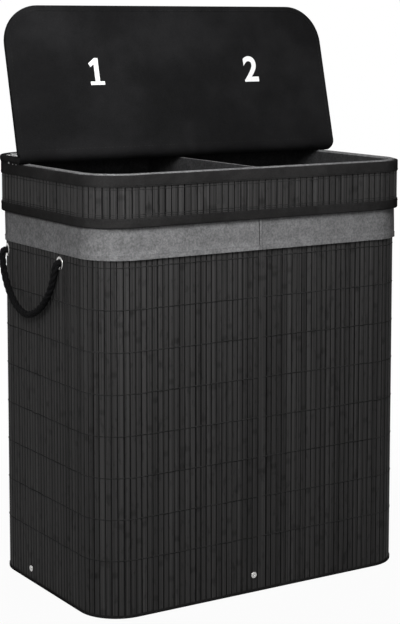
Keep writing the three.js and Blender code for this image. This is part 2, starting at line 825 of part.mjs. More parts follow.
function addCapJoints(parent) {
  const weltHalf = bodyWidth / 2 - cornerRadius - weltShortOfCorner;
  const weltRear = bodyDepth / 2 + collarOut;
  const welt = extrudeUp(
    new THREE.Shape([
      new THREE.Vector2(-weltHalf, weltRear - weltWidth),
      new THREE.Vector2(weltHalf, weltRear - weltWidth),
      new THREE.Vector2(weltHalf, weltRear),
      new THREE.Vector2(-weltHalf, weltRear),
    ]),
    rimHeight + gap,
    flapBottom - gap,
  );
  add(parent, "panel_seam_welt", welt, blackTape);
  const length = panelOutline.right - panelOutline.left - 2 * hingeTapeShort;
  const tape = new THREE.CylinderGeometry(hingeTapeRadius, hingeTapeRadius, length, hingeTapeSides)
    .rotateZ(Math.PI / 2)
    .translate(0, hingeY, hingeZ);
  add(parent, "hinge_tape", tape, blackTape);
}

function addLid(parent) {
  const pivot = new THREE.Group();
  pivot.position.set(0, hingeY, hingeZ);
  pivot.rotation.x = -THREE.MathUtils.degToRad(lidOpenDegrees);
  const closed = new THREE.Group();
  closed.position.set(0, -hingeY, -hingeZ);
  pivot.add(closed);
  addFlatPanel(closed, "lid", lidOutline);
  parent.add(pivot);
}

addWall(hamper);
addBase(hamper);
addRopeFittings(hamper);
addLiner(hamper);
addCollar(hamper);
addFlatPanel(hamper, "rear_panel", panelOutline);
addCapJoints(hamper);
addLid(hamper);

export default hamper;
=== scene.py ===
"""A laundry hamper with two bins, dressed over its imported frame. Metres, +Z up, front towards -Y."""

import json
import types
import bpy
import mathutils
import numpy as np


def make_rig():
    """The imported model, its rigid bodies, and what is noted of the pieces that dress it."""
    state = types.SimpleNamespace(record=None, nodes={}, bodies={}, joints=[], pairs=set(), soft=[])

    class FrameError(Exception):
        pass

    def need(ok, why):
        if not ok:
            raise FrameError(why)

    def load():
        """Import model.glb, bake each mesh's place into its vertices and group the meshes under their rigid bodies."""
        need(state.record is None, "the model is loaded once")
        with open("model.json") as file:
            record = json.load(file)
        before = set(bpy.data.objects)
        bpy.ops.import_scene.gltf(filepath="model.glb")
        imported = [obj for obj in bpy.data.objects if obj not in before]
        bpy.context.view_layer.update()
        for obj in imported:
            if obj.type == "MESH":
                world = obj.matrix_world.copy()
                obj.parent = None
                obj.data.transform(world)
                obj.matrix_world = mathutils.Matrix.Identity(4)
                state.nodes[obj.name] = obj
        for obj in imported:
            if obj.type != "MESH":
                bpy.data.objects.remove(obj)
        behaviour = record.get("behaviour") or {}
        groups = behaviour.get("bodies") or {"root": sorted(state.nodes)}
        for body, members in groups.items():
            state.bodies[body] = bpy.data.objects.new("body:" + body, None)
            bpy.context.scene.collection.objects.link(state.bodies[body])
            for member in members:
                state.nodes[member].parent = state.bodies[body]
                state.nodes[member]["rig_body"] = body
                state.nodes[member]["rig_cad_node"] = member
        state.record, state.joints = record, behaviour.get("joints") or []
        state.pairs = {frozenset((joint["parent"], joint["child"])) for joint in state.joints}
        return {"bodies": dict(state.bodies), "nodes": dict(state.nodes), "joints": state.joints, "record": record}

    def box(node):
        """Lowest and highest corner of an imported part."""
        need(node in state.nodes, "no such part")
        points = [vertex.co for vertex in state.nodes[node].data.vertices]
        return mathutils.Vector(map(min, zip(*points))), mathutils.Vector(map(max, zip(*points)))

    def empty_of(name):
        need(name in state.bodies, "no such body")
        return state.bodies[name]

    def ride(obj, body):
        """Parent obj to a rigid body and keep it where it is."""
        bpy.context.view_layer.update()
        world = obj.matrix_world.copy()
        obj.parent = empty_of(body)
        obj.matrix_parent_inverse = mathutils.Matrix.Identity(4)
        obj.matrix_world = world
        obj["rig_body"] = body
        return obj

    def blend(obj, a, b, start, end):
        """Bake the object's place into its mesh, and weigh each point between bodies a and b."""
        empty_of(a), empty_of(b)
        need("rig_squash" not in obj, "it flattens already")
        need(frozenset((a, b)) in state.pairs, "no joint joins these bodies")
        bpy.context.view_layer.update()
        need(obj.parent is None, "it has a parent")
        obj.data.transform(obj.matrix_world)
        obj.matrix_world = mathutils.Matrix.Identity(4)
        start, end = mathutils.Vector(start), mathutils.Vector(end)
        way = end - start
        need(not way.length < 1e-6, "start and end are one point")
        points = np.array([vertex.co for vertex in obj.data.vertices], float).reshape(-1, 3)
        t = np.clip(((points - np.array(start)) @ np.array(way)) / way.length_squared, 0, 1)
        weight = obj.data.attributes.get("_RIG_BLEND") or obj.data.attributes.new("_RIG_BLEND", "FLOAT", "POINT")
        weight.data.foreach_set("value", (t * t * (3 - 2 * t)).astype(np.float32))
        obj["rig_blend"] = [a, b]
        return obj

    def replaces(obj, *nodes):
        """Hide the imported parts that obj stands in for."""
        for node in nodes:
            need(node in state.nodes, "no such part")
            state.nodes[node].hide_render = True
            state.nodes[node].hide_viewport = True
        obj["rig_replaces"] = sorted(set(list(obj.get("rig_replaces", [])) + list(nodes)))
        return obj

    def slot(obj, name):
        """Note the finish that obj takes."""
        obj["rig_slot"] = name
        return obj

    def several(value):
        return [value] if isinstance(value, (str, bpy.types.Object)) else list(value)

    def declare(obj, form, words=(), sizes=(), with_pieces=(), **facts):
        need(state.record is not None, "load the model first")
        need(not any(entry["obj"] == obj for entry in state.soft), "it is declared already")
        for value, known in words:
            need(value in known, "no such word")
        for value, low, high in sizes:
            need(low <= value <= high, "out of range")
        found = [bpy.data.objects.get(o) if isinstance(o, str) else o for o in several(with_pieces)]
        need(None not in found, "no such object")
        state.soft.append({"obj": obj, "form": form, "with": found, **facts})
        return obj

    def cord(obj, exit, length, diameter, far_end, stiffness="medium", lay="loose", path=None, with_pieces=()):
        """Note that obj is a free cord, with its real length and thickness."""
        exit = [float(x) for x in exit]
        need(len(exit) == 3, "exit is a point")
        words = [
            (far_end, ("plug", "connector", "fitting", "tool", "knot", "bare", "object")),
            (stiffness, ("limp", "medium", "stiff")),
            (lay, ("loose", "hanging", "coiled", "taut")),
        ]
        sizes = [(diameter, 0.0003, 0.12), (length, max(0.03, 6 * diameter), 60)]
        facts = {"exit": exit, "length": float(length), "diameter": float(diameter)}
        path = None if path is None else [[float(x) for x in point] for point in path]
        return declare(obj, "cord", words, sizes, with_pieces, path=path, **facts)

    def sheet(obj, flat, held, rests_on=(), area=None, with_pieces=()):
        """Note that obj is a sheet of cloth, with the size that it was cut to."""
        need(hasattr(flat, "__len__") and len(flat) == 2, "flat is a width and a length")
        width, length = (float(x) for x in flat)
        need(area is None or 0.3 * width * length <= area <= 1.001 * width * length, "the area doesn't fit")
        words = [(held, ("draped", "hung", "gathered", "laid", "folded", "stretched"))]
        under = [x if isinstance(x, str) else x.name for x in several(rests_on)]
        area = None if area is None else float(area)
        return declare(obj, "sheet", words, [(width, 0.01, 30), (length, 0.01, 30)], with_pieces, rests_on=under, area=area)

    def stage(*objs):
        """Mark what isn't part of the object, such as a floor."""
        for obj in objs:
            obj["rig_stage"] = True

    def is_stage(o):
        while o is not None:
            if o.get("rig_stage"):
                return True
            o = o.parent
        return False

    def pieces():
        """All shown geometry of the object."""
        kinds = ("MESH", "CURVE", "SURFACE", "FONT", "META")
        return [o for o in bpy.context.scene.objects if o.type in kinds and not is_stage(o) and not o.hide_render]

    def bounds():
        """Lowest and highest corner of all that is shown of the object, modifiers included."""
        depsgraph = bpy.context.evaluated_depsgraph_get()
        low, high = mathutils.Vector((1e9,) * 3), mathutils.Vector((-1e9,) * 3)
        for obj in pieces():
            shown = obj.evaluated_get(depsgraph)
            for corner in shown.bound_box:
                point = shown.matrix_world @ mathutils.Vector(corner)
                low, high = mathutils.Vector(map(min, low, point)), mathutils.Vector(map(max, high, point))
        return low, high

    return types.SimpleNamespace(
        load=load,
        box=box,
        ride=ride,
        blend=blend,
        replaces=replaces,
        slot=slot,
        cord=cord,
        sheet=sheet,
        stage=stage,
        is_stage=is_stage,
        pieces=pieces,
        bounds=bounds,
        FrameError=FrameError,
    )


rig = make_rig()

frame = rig.load()

import json
import math
import random
from collections import namedtuple

import bmesh
import bpy
from mathutils import Matrix, Vector, noise

bl_info = {
    "name": "Two-bin laundry hamper",
    "version": (1, 0, 0),
    "blender": (4, 5, 0),
    "location": "3D View > Sidebar > Hamper",
    "description": "Builds a slat laundry hamper with a cloth liner, a slip-on cap and a flap lid",
    "category": "Add Mesh",
}

CAD_BOX = [list(corner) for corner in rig.bounds()]
SIZE_FILE = "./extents.json"
FINISH_ENDING = "_finish"
MM = 0.001
UP = Vector((0, 0, 1))
SIDES = (("left", -1), ("right", 1))
FACES = (
    ("front", Vector((0, -1, 0))),
    ("rear", Vector((0, 1, 0))),
    ("left", Vector((-1, 0, 0))),
    ("right", Vector((1, 0, 0))),
)

# Starts of the random draws
WALL_SEED = 4
COLLAR_SEED = 9
PANEL_SEED = 15
LID_SEED = 23

# Outlines in plan: a rectangle with round corners. BODY is the outer face of the wall's slats.
Plan = namedtuple("Plan", "left right front rear front_radius rear_radius")
BODY = Plan(-273 * MM, 273 * MM, -171 * MM, 171 * MM, 60 * MM, 60 * MM)
PANEL = Plan(-281.9 * MM, 281.9 * MM, 54.2 * MM, 177.9 * MM, 4 * MM, 66.9 * MM)
LID = Plan(-289 * MM, 289 * MM, -178.2 * MM, 51.8 * MM, 60 * MM, 4 * MM)
CORNER_STEPS = 14
TIGHT_CORNER = 10 * MM
TIGHT_CORNER_STEPS = 4
LEAST_RADIUS = 0.5 * MM

# Two lengths that differ by less than SAME count as the same, and a face whose normal's upright part is
# more than LEVEL_FACE counts as level
SAME = 0.01 * MM
LEVEL_FACE = 0.99

# Angles in degrees above which an edge stays sharp
SLAT_ANGLE = 30
SOLID_ANGLE = 40
SOFT_ANGLE = 50
CORD_ANGLE = 60

# Runs of cloth longer than these are cut up, in steps of about CLOTH_STEP
LONG_RUNS = (400 * MM, 200 * MM, 100 * MM)
CLOTH_STEP = 14 * MM

# Heights above the floor
RIM = 635 * MM
WALL_LOW = 1.1 * MM
WALL_TOP = 634.5 * MM
HEM_LOW = 623.3 * MM
HEM_TOP = 635.3 * MM
FOOT_TOP = 4.5 * MM
FOLD_TOP = 636.4 * MM
CUFF_LOW = 515 * MM
CUFF_HEM = 522.0 * MM
CUFF_INNER_LOW = 600.4 * MM
COLLAR_LOW = 561 * MM
COLLAR_SLATS_LOW = 562.1 * MM
COLLAR_SLATS_TOP = 633.9 * MM
LOWEST_THREAD = 83.8 * MM
COLLAR_THREADS = (576.8 * MM, 579.6 * MM, 614.4 * MM)
BAG_FLOOR = 36.3 * MM
BAG_TOP = 633.8 * MM
FLAP_LOW = 636.7 * MM
PANEL_CLOTH_LOW = 637.9 * MM
LID_CLOTH_LOW = 637.5 * MM
PRINT_MIDDLE = 636.9 * MM
FLAP_SLATS_LOW = 643.3 * MM
FLAP_TOP = 645.9 * MM

# Slats: rounding of the long edges, how far chance moves them aside, sinks them and scales their width,
# and how far a flat panel's slats end inside its outline
SLAT_ROUNDING = 0.45 * MM
SLAT_ASIDE = 0.25 * MM
SLAT_SUNK = 0.12 * MM
SLAT_WIDTHS = (0.92, 1.03)
FLAT_SLATS_INSET = 2 * MM

# Join strips: their width, and half of the room that each has between the two mats
JOIN_STRIP_WIDTH = 14.6 * MM
JOIN_STRIP_HALF_ROOM = 7.8 * MM

# Threads over the slats: the share of their radius that is pressed in, the dip between two slats,
# how far from a slat's edge the dip starts, and how far chance moves them
THREAD_SUNK = 0.35
THREAD_DIP = 1.0 * MM
THREAD_TURN = 0.8 * MM
WALL_THREAD_SWAY = 0.45 * MM
FLAT_THREAD_SWAY = 0.35 * MM
FLAT_THREAD_INSET = 12 * MM
WALL_THREAD_COUNT = 8
COLLAR_THREAD_SHARE = 0.6

# Sewn stitches: gap to the next hole, height over the cloth, dip under it and thread radius
STITCH_GAP = 0.4 * MM
STITCH_LIFT = 0.25 * MM
STITCH_DIP = 0.6 * MM
STITCH_RADIUS = 0.3 * MM

# Bindings, stitches and cloths of the lid and the fixed panel
TAPE_WIDTH = 9 * MM
TAPE_ROUND = 2.6 * MM
TAPE_THICKNESS = 0.6 * MM
TAPE_CORNER_SHARE = 0.98
TAPE_WELD = 0.2 * MM
TAPE_STITCH_INSET = 7.6 * MM
TAPE_STITCH_TOP = FLAP_TOP - 0.3 * MM
TAPE_STITCH_LOW = FLAP_LOW + 0.4 * MM
TAPE_PUCKER = 0.3 * MM
TAPE_PUCKER_SCALE = 70
FLAT_CLOTH_INSET = 1.6 * MM
FLAT_CLOTH_CELLS = 90
FLAT_CLOTH_SCALE = Vector((7, 9, 3))
FLAT_CLOTH_FADE = 1 / 12
PANEL_CLOTH_BULGE = 0.2 * MM
LID_CLOTH_BULGE = 0.5 * MM

# Thicknesses of the thin cloths and of the liner's
THIN_CLOTH = 0.5 * MM
LINER_THICKNESS = 0.8 * MM

# Distances outwards from the slats' outer faces
BACKING_OUT = -1.9 * MM
HEM_OUT = 0.8 * MM
HEM_INNER_OUT = -6.8 * MM
FOOT_OUT = 1.1 * MM
CUFF_OUT = 1.9 * MM
CUFF_INNER_OUT = -7.9 * MM
CAP_INNER_OUT = 2.4 * MM
COLLAR_BACKING_OUT = 3.9 * MM
COLLAR_SLATS_OUT = 5.8 * MM
COLLAR_OUT = 6.9 * MM
COLLAR_STITCH_OUT = COLLAR_OUT + 0.2 * MM
COLLAR_ROUND = 1.4 * MM
COLLAR_PUCKER = 0.35 * MM
COLLAR_PUCKER_SCALE = 60

# The wall's folded tapes: name, place outwards, free edge, fold, thickness, the fold's rounding and CAD node
WALL_TAPES = (
    ("hem_tape", HEM_OUT, HEM_LOW, HEM_TOP, 0.5 * MM, 0.8 * MM, "top_hem"),
    ("foot_tape", FOOT_OUT, FOOT_TOP, 0, 0.8 * MM, 0.7 * MM, "bottom_edge_binding"),
)

# The collar's bindings: word, free edges, fold and row of stitches
COLLAR_TAPES = (
    ("top", 618.5 * MM, RIM, 621.0 * MM),
    ("bottom", 575 * MM, COLLAR_LOW, 572.4 * MM),
)

# Cuff: where level rows of edges are cut, how far its slack, creases, hem and tuck stand out,
# and how it tightens towards the sides
CUFF_FOLD_ROUND = 1.0 * MM
CUFF_CUTS = tuple(height * MM for height in (516, 522, 523.2, 530, 538, 546, 554, 561))
CUFF_HEM_TOP = 522.6 * MM
HEM_THICKER = 0.55 * MM
CUFF_SLACK = 1.1 * MM
CUFF_CREASE = 0.7 * MM
TUCK_OUT = 1.2 * MM
TUCK_X = 258 * MM
TUCK_HALF = 3.4 * MM
TIGHT_FROM = 225 * MM
TIGHT_RUN = 40 * MM
TIGHT_IN = 0.7 * MM
TIGHT_SHARE = 0.8
CUFF_SLACK_SCALE = Vector((14, 14, 9))
CUFF_CREASE_SCALE = Vector((45, 45, 30))
CUFF_CREASE_SHIFT = Vector((0, 0, 7))

# Cuff seams: distance along the cuff from the middle, waves, and how flat they lie under the collar
CUFF_SEAM_ASIDE = 7 * MM
CUFF_SEAM_TOP = FOLD_TOP - 2.5 * MM
CUFF_SEAM_CUTS = 38
CUFF_SEAM_WAVE = 1.4 * MM
CUFF_SEAM_SCALE = 26
CUFF_SEAM_PRESSED = 0.3 * MM
CUFF_SEAM_PRESSED_FROM = COLLAR_LOW - 3 * MM
SeamPart = namedtuple("SeamPart", "ending left right proud sunk rounding finish")
CUFF_SEAM_PARTS = (
    SeamPart("", -0.3 * MM, 4.2 * MM, 1.5 * MM, 0.2 * MM, 0.6 * MM, "grey_liner_cloth"),
    SeamPart("_thread", -0.8 * MM, -0.3 * MM, 1.6 * MM, 0.2 * MM, 0.15 * MM, "binding_thread"),
)

# Bags: distances inwards from the slats' outer faces at the sides and at front and rear, radii and rows
BAG_SIDE_IN = 18.5 * MM
BAG_FACE_IN = 9.4 * MM
BAG_TOP_IN = 8.2 * MM
BAG_GAP = 0.4 * MM
BAG_LEAST_CORNER = 6 * MM
BAG_MIDDLE_CORNER = 9 * MM
BAG_ROUND = 18 * MM
BAG_ROUND_STEPS = 4
BAG_FLOOR_SHARES = (0.75, 0.5, 0.25)
BAG_FLOOR_SIDE_RUN = 100 * MM
BAG_FLOOR_FACE_RUN = 110 * MM
BAG_ROW = 18 * MM
BAG_ROWS = 26
BAG_WIDENS = 525 * MM
BAG_TOP_ROWS = 12
BAG_COLUMNS = 190
BAG_LOW_FOLD = 0.2
BAG_FOLD_ROWS = 8
BAG_SPREAD_RATE = 1.5
BAG_FLATTENING = 0.7

# Bag folds: broad ones with finer ones on them, sharp creases, each bag's own shifts, and the share of
# the broad ones in the depth
BAG_FOLD_SCALE = Vector((9, 9, 4))
BAG_FOLD_SHIFT = Vector((0, 40, 0))
BAG_FINER = 3.1
BAG_FINER_SHARE = 0.25
BAG_FOLD_SHARE = 0.6
BAG_CREASE_SCALE = Vector((16, 16, 7))
BAG_CREASE_SHIFT = Vector((0, 20, 0))
BAG_CREASE_SLANT = Vector((0, 0, 5))
BAG_CREASE_POWER = 6

# Divider: rounding of the binding, which is painted dark for the shade on its sides, and the pale edge on its lit top
# in the liner's own grey
DIVIDER_ROUND = 1.6 * MM
DIVIDER_CUTS = 24
DIVIDER_EDGE_INSET = 0.8 * MM
DIVIDER_EDGE_SUNK = 0.2 * MM
DIVIDER_EDGE_HIGH = 0.35 * MM
DIVIDER_EDGE_ROUND = 0.25 * MM

# Seams at the panel's sides, and the tack stitches at their front ends: place along Y, radius and lift
PANEL_SEAM_INSET = 2.4 * MM
PANEL_SEAM_START = 3 * MM
PANEL_SEAM_PAST_CORNER = 2 * MM
PANEL_SEAM_RADIUS = 1.1 * MM
PANEL_SEAM_SIDES = 10
PANEL_SEAM_STEPS = 60
TACKS = ((98 * MM, 2.2 * MM, 0.2 * MM), (85 * MM, 1.2 * MM, -1.0 * MM), (74 * MM, 1.0 * MM, -1.3 * MM))
TACK_SHAPE = (0.5, 1.2, 0.9)
TACK_SIDES = 14
TACK_RINGS = 8

# Welt between panel and collar
WELT_RADIUS = 1.6 * MM
WELT_SIDES = 20
WELT_ROUND = 0.6 * MM
WELT_FLATTENED = 0.66

# Lid hinge: the middle of its line, how far the lid stands open, and the cloth that joins lid and panel
HINGE = Vector((0, 53 * MM, 646.2 * MM))
LID_OPEN = math.radians(104)
HINGE_HALF_LENGTH = 276 * MM
HINGE_REACH = 9 * MM
HINGE_BELOW = 0.25 * MM
HINGE_ABOVE = 0.35 * MM
HINGE_BEND_HALF = 1.6 * MM
HINGE_CUTS = 35
HINGE_ROUND = 0.15 * MM
HINGE_BLEND = Vector((0, 0.7, -0.7)) * MM

# The soft roll inside the hinge, from the lid to the panel
ROLL_LID_HALF = LID.right - 1.6 * MM
ROLL_PANEL_HALF = PANEL.right + 2 * MM
ROLL_UNDER = FLAP_LOW - 0.3 * MM
ROLL_REACH = 6 * MM
ROLL_TUCKED = 1.5 * MM
ROLL_RIPPLE_BACK = -0.5 * MM
ROLL_RIPPLE_UP = 0.7 * MM
ROLL_SCALE = 22
ROLL_NOISE_LEVEL = 5
ROLL_CELLS = (80, 12)

# Numerals on the lid's lining
NUMERAL_X = 142 * MM
NUMERAL_FROM_HINGE = 127 * MM
NUMERAL_EXTRUDE = 0.001
NUMERAL_DEPTH_SCALE = 0.15
NUMERAL_BOLDER = 0.025

# Rope handles: the swing's axis, the eyelets, and the loop from the photograph
ROPE_AXIS_X = 280.2 * MM
ROPE_HEIGHT = 501 * MM
ROPE_FRONT_Y = -52.5 * MM
ROPE_REAR_Y = 124.1 * MM
REAR_EYELET_Y = 122.5 * MM
EYELETS = (("front", ROPE_FRONT_Y), ("rear", REAR_EYELET_Y))
ROPE_DROP = 86.5 * MM
ROPE_STANDOFF = 4.2 * MM
ROPE_POWER = 2 / 1.8
ROPE_STEPS = 40
ROPE_STEP = 3 * MM
STRANDS = 3
STRAND_SHARE = 0.29
STRAND_SIDES = 12
ELBOW_RADIUS = 6.2 * MM
ELBOW_STEPS = 6
ELBOW_DROP = 1.6 * ELBOW_RADIUS
ROPE_INSIDE = 13 * MM
ROPE_BLEND_START = 274.5 * MM
ROPE_BLEND_END = 281.5 * MM

# Knots inside the wall
KNOT_SIZE = 1.75 * MM
KNOT_DEPTH = 1.3
KNOT_RADIUS = 3.3 * MM
KNOT_SIDES = 10
KNOT_STEPS = 60

# Metal rings of any size, and the eyelets' two flanges and barrel, with distances outwards from the slats'
# outer faces
RING_ROUND = 1.75 * MM
RING_SIDES = 12
RING_SHAPE = (1, 1, 0.5)
FLANGE_RADIUS = 8.0 * MM
FLANGE_OUTS = (0.45 * MM, -3.0 * MM)
FLANGE_STEPS = 40
BARREL_OUT = -1.3 * MM
BARREL_RADIUS = 6.9 * MM
BARREL_LENGTH = 4.4 * MM
BARREL_THICKNESS = 0.6 * MM

# Rivets: head, shank and tail, with depths inwards from the head's outer face
HEAD_RING_DEPTH = 1.2 * MM
HEAD_RING_RADIUS = 2.9 * MM
HEAD_RING_STEPS = 32
HEAD_DEPTH = 1.6 * MM
HEAD_RADIUS = 4.8 * MM
HEAD_HEIGHT = 0.6 * MM
HEAD_ROUND = 0.2 * MM
HEAD_STEPS = 36
SHANK_RADIUS = 1.8 * MM
SHANK_DEEPER = 0.6 * MM
SHANK_SHORTER = 1.4 * MM
SHANK_STEPS = 20
TAIL_RADIUS = 3.6 * MM
TAIL_HEIGHT = 1.0 * MM
TAIL_ROUND = 0.35 * MM
TAIL_STEPS = 28

# Stained bamboo: noise scales per metre across and along a slat and from slat to slat, and the cane's joints
FIBRE_SCALE = (1500, 9, 90)
STREAK_SCALE = (430, 2, 170)
CRACK_SCALE = (760, 1.3, 230)
KNOT_SCALE = (130, 55, 300)
STAIN_SCALE = (44, 44, 26)
JOINT_SPACING = 0.29
JOINT_SCATTER = 37.0

# Woven cloths: distance from thread to thread, unevenness from yarn to yarn, and depth of the soft folds, which also
# sets the painted light and shade on them
LINING_PITCH = 0.9 * MM
LINER_PITCH = 1.1 * MM
WEAVES = {
    "binding_thread": (0.5 * MM, 0.15, 0.1),
    "pale_thread": (0.5 * MM, 0.10, 0.1),
    "binding_cloth": (1.0 * MM, 0.10, 0.12),
    "lining_cloth": (LINING_PITCH, 0.15, 0.04),
}

# Cloths: noise scales per metre, among them that of the clouds of wear and painted fold light, and the height of their
# soft folds
YARN_SCALE = 620.0
CRUMPLE_SCALE = 60.0
CRUMPLE_HEIGHT = 60
WEAR_AND_FOLD_LIGHT_SCALE = 7.0
FLECK_SCALE = 300.0
CLOUD_SCALE = 95.0
DRIFT_SCALE = 11.0

# Rope: yarns round a strand, their turn in radians per metre of it, and the fuzz's noise scale per metre
YARNS_ROUND = 7.0
YARN_TWIST = 1100.0
FUZZ_SCALE = 900.0

# Metal and board: noise scales per metre
METAL_CLOUD_SCALE = 160.0
METAL_GRAIN_SCALE = 900.0
BOARD_FIBRE_SCALE = (700, 260, 700)
BOARD_CLOUD_SCALE = 30.0

# Roughness of each finish
BAMBOO_ROUGH = 0.55
CLOTH_ROUGH = 0.9
LINER_ROUGH = 0.95
ROPE_ROUGH = 0.8
NICKEL_ROUGH = 0.24
STEEL_ROUGH = 0.38
BOARD_ROUGH = 0.85
PRINT_ROUGH = 0.6

# Relief of each finish: its strength and depth, and how high the bamboo's joints stand in it
BAMBOO_RELIEF = (0.4, 0.12 * MM)
JOINT_HEIGHT = 1.5
CLOTH_RELIEF = (0.5, 0.25 * MM)
LINER_RELIEF = (0.45, 0.25 * MM)
ROPE_RELIEF = (0.7, 0.3 * MM)
METAL_RELIEF = (0.15, 0.05 * MM)
BOARD_RELIEF = (0.4, 0.2 * MM)
PRINT_RELIEF = (0.3, 0.1 * MM)

# The photograph's viewpoint
CAMERA_PLACE = (-1.3729, -2.1887, 0.8443)
CAMERA_YAW = math.radians(32.07)
CAMERA_PITCH = math.radians(5.78)
FOCAL_PIXELS = 1676.0
IMAGE_LONG_SIDE = 624
SENSOR = 36.0
CAMERA_SHIFT = -0.19
CLIP_END = 50

# Floor and surroundings: the floor's own colour, how white it looks near the object and far off,
# and how far the white surroundings are dimmed as a light
FLOOR_RADIUS = 40
FLOOR_LOWER = 0.5 * MM
FLOOR_STEPS = 96
FLOOR_SCALE = 3.0
FLOOR_COLOURS = (0.29, 0.31)
FLOOR_WHITE = (0.96, 1.0)
FLOOR_WHITE_DISTANCES = (0.45, 1.2)
WORLD_LIGHT = 0.1

# Lamps: name, place, the spot that they point at, side length and watts
LAMPS = (
    ("left", (-1.05, -0.9, 1.2), (-0.2, -0.17, 1.2), 0.5, 14.0),
    ("front", (-0.3, -0.75, 1.4), (-0.2, -0.17, 1.25), 0.5, 11.5),
    ("fill", (-1.1, -2.3, 0.95), (0, 0, 0.7), 0.5, 7),
    ("right", (1.4, 0.9, 1.2), (0.1, 0.1, 0.35), 0.8, 12),
    ("back", (0.5, 1.7, 1.2), (0.1, 0.17, 0.6), 0.8, 20),
)


def length_property(name, description, default):
    """A length that a user may change."""
    return bpy.props.FloatProperty(name=name, description=description, default=default, unit="LENGTH")


class HamperSizes(bpy.types.PropertyGroup):
    """Sizes that a user may change"""

    slat_pitch: length_property("Slat pitch", "From one wall slat to the next", 9 * MM)
    slat_gap: length_property("Slat gap", "Open groove between two slats", 1.0 * MM)
    slat_thickness: length_property("Slat thickness", "Thickness of every slat", 1.6 * MM)
    collar_pitch: length_property("Collar slat pitch", "From one collar slat to the next", 10.6 * MM)
    thread_spacing: length_property("Thread spacing", "Between the threads that bind the slats", 60.15 * MM)
    thread_radius: length_property("Thread radius", "Radius of the binding threads", 1.15 * MM)
    stitch_length: length_property("Stitch length", "Length of one sewn stitch", 3.2 * MM)
    rope_diameter: length_property("Rope diameter", "Across the three strands", 11 * MM)
    rope_lay: length_property("Rope lay", "Length of one full turn of the strands", 33 * MM)
    bag_fold: length_property("Bag fold depth", "Deepest fold of the hanging bags", 7 * MM)
    numeral_height: length_property("Numeral height", "Height of the bin numerals on the lid", 42 * MM)


def colour_property(name, description, rgb):
    """A colour that a user may change."""
    return bpy.props.FloatVectorProperty(
        name=name, description=description, default=(*rgb, 1), size=4, min=0, max=1, subtype="COLOR"
    )


class HamperColours(bpy.types.PropertyGroup):
    """Colours that a user may change"""

    bamboo: colour_property("Bamboo", "Stained slats", (0.0434, 0.0426, 0.0426))
    thread: colour_property("Thread", "Threads that bind the slats", (0.027, 0.027, 0.027))
    pale_thread: colour_property("Pale thread", "Tack stitches at the panel's corners", (0.45, 0.45, 0.45))
    binding: colour_property("Binding", "Edge bindings of the cap and the foot", (0.024, 0.0235, 0.0235))
    lining: colour_property("Lining", "Cloth inside the lid", (0.0131, 0.0131, 0.0136))
    liner: colour_property("Liner", "Heathered cloth of the cuff and the divider", (0.178, 0.178, 0.181))
    # Painted shade: the bins' inner cloth is the grey liner in shade; this dark colour paints that shade on the bags
    # and the divider
    bag: colour_property("Bag", "Darker cloth inside the bins", (0.036, 0.036, 0.037))
    rope: colour_property("Rope", "Handle strands", (0.0065, 0.0065, 0.0068))
    nickel: colour_property("Nickel", "Eyelets and rivets", (0.46, 0.455, 0.445))
    steel: colour_property("Steel", "Frame wires and brackets", (0.50, 0.50, 0.51))
    board: colour_property("Board", "Base board and stiffeners", (0.20, 0.19, 0.18))
    ink: colour_property("Ink", "Printed numerals", (0.88, 0.88, 0.88))


def sizes():
    """The size settings of the scene."""
    return bpy.context.scene.hamper_sizes


def colours():
    """The colour settings of the scene."""
    return bpy.context.scene.hamper_colours


# Selecting and shaping


def alone(piece):
    """Selects one object and makes it the active one."""
    bpy.ops.object.select_all(action="DESELECT")
    piece.select_set(True)
    bpy.context.view_layer.objects.active = piece


def settle(piece):
    """Moves an object's place, turn and scale into its mesh."""
    alone(piece)
    bpy.ops.object.transform_apply(location=True, rotation=True, scale=True)


def added(operator, shape=(1, 1, 1), **settings):
    """One of Blender's basic shapes, with its place, turn and scale moved into its mesh."""
    bpy.ops.object.select_all(action="DESELECT")
    operator(**settings)
    piece = bpy.context.active_object
    piece.scale = shape
    settle(piece)
    return piece


def join(parts, name):
    """Joins several meshes into one object."""
    bpy.ops.object.select_all(action="DESELECT")
    for part in parts:
        part.select_set(True)
    bpy.context.view_layer.objects.active = parts[0]
    if len(parts) > 1:
        bpy.ops.object.join()
    return named(bpy.context.view_layer.objects.active, name)


def placed(name, data):
    """A new object in the scene."""
    piece = bpy.data.objects.new(name, data)
    bpy.context.collection.objects.link(piece)
    return piece


def from_faces(name, verts, faces):
    """An object from points and the faces between them."""
    mesh = bpy.data.meshes.new(name)
    mesh.from_pydata(verts, [], faces)
    return placed(name, mesh)


def named(piece, name):
    """Gives an object and its mesh one name."""
    piece.name = name
    piece.data.name = name
    return piece


def as_mesh(piece, name):
    """Turns a curve or a text into a mesh."""
    alone(piece)
    bpy.ops.object.convert(target="MESH")
    return named(bpy.context.active_object, name)


def edit(piece):
    """Opens one object for editing."""
    alone(piece)
    bpy.ops.object.mode_set(mode="EDIT")


def done():
    """Leaves edit mode."""
    bpy.ops.object.mode_set(mode="OBJECT")


def pick(piece, kind, test):
    """In edit mode, selects the edges or the faces that pass a test."""
    bpy.ops.mesh.select_mode(type=kind)
    bpy.ops.mesh.select_all(action="DESELECT")
    shape = bmesh.from_edit_mesh(piece.data)
    for part in shape.edges if kind == "EDGE" else shape.faces:
        if test(part):
            part.select_set(True)
    shape.select_flush_mode()
    bmesh.update_edit_mesh(piece.data)


def near(value, other):
    """Whether two lengths are the same."""
    return abs(value - other) < SAME


def level_at(height):
    """A test for parts that lie level at a height."""
    return lambda part: all(near(v.co.z, height) for v in part.verts)


def upright(edge):
    """Whether an edge stands upright."""
    a, b = (v.co for v in edge.verts)
    return near(a.x, b.x) and near(a.y, b.y) and not near(a.z, b.z)


def long_run(edge, length):
    """Whether an edge runs level along x or y for more than a length."""
    a, b = (v.co for v in edge.verts)
    across = abs(a.x - b.x) if near(a.y, b.y) else abs(a.y - b.y) if near(a.x, b.x) else 0
    return near(a.z, b.z) and across > length


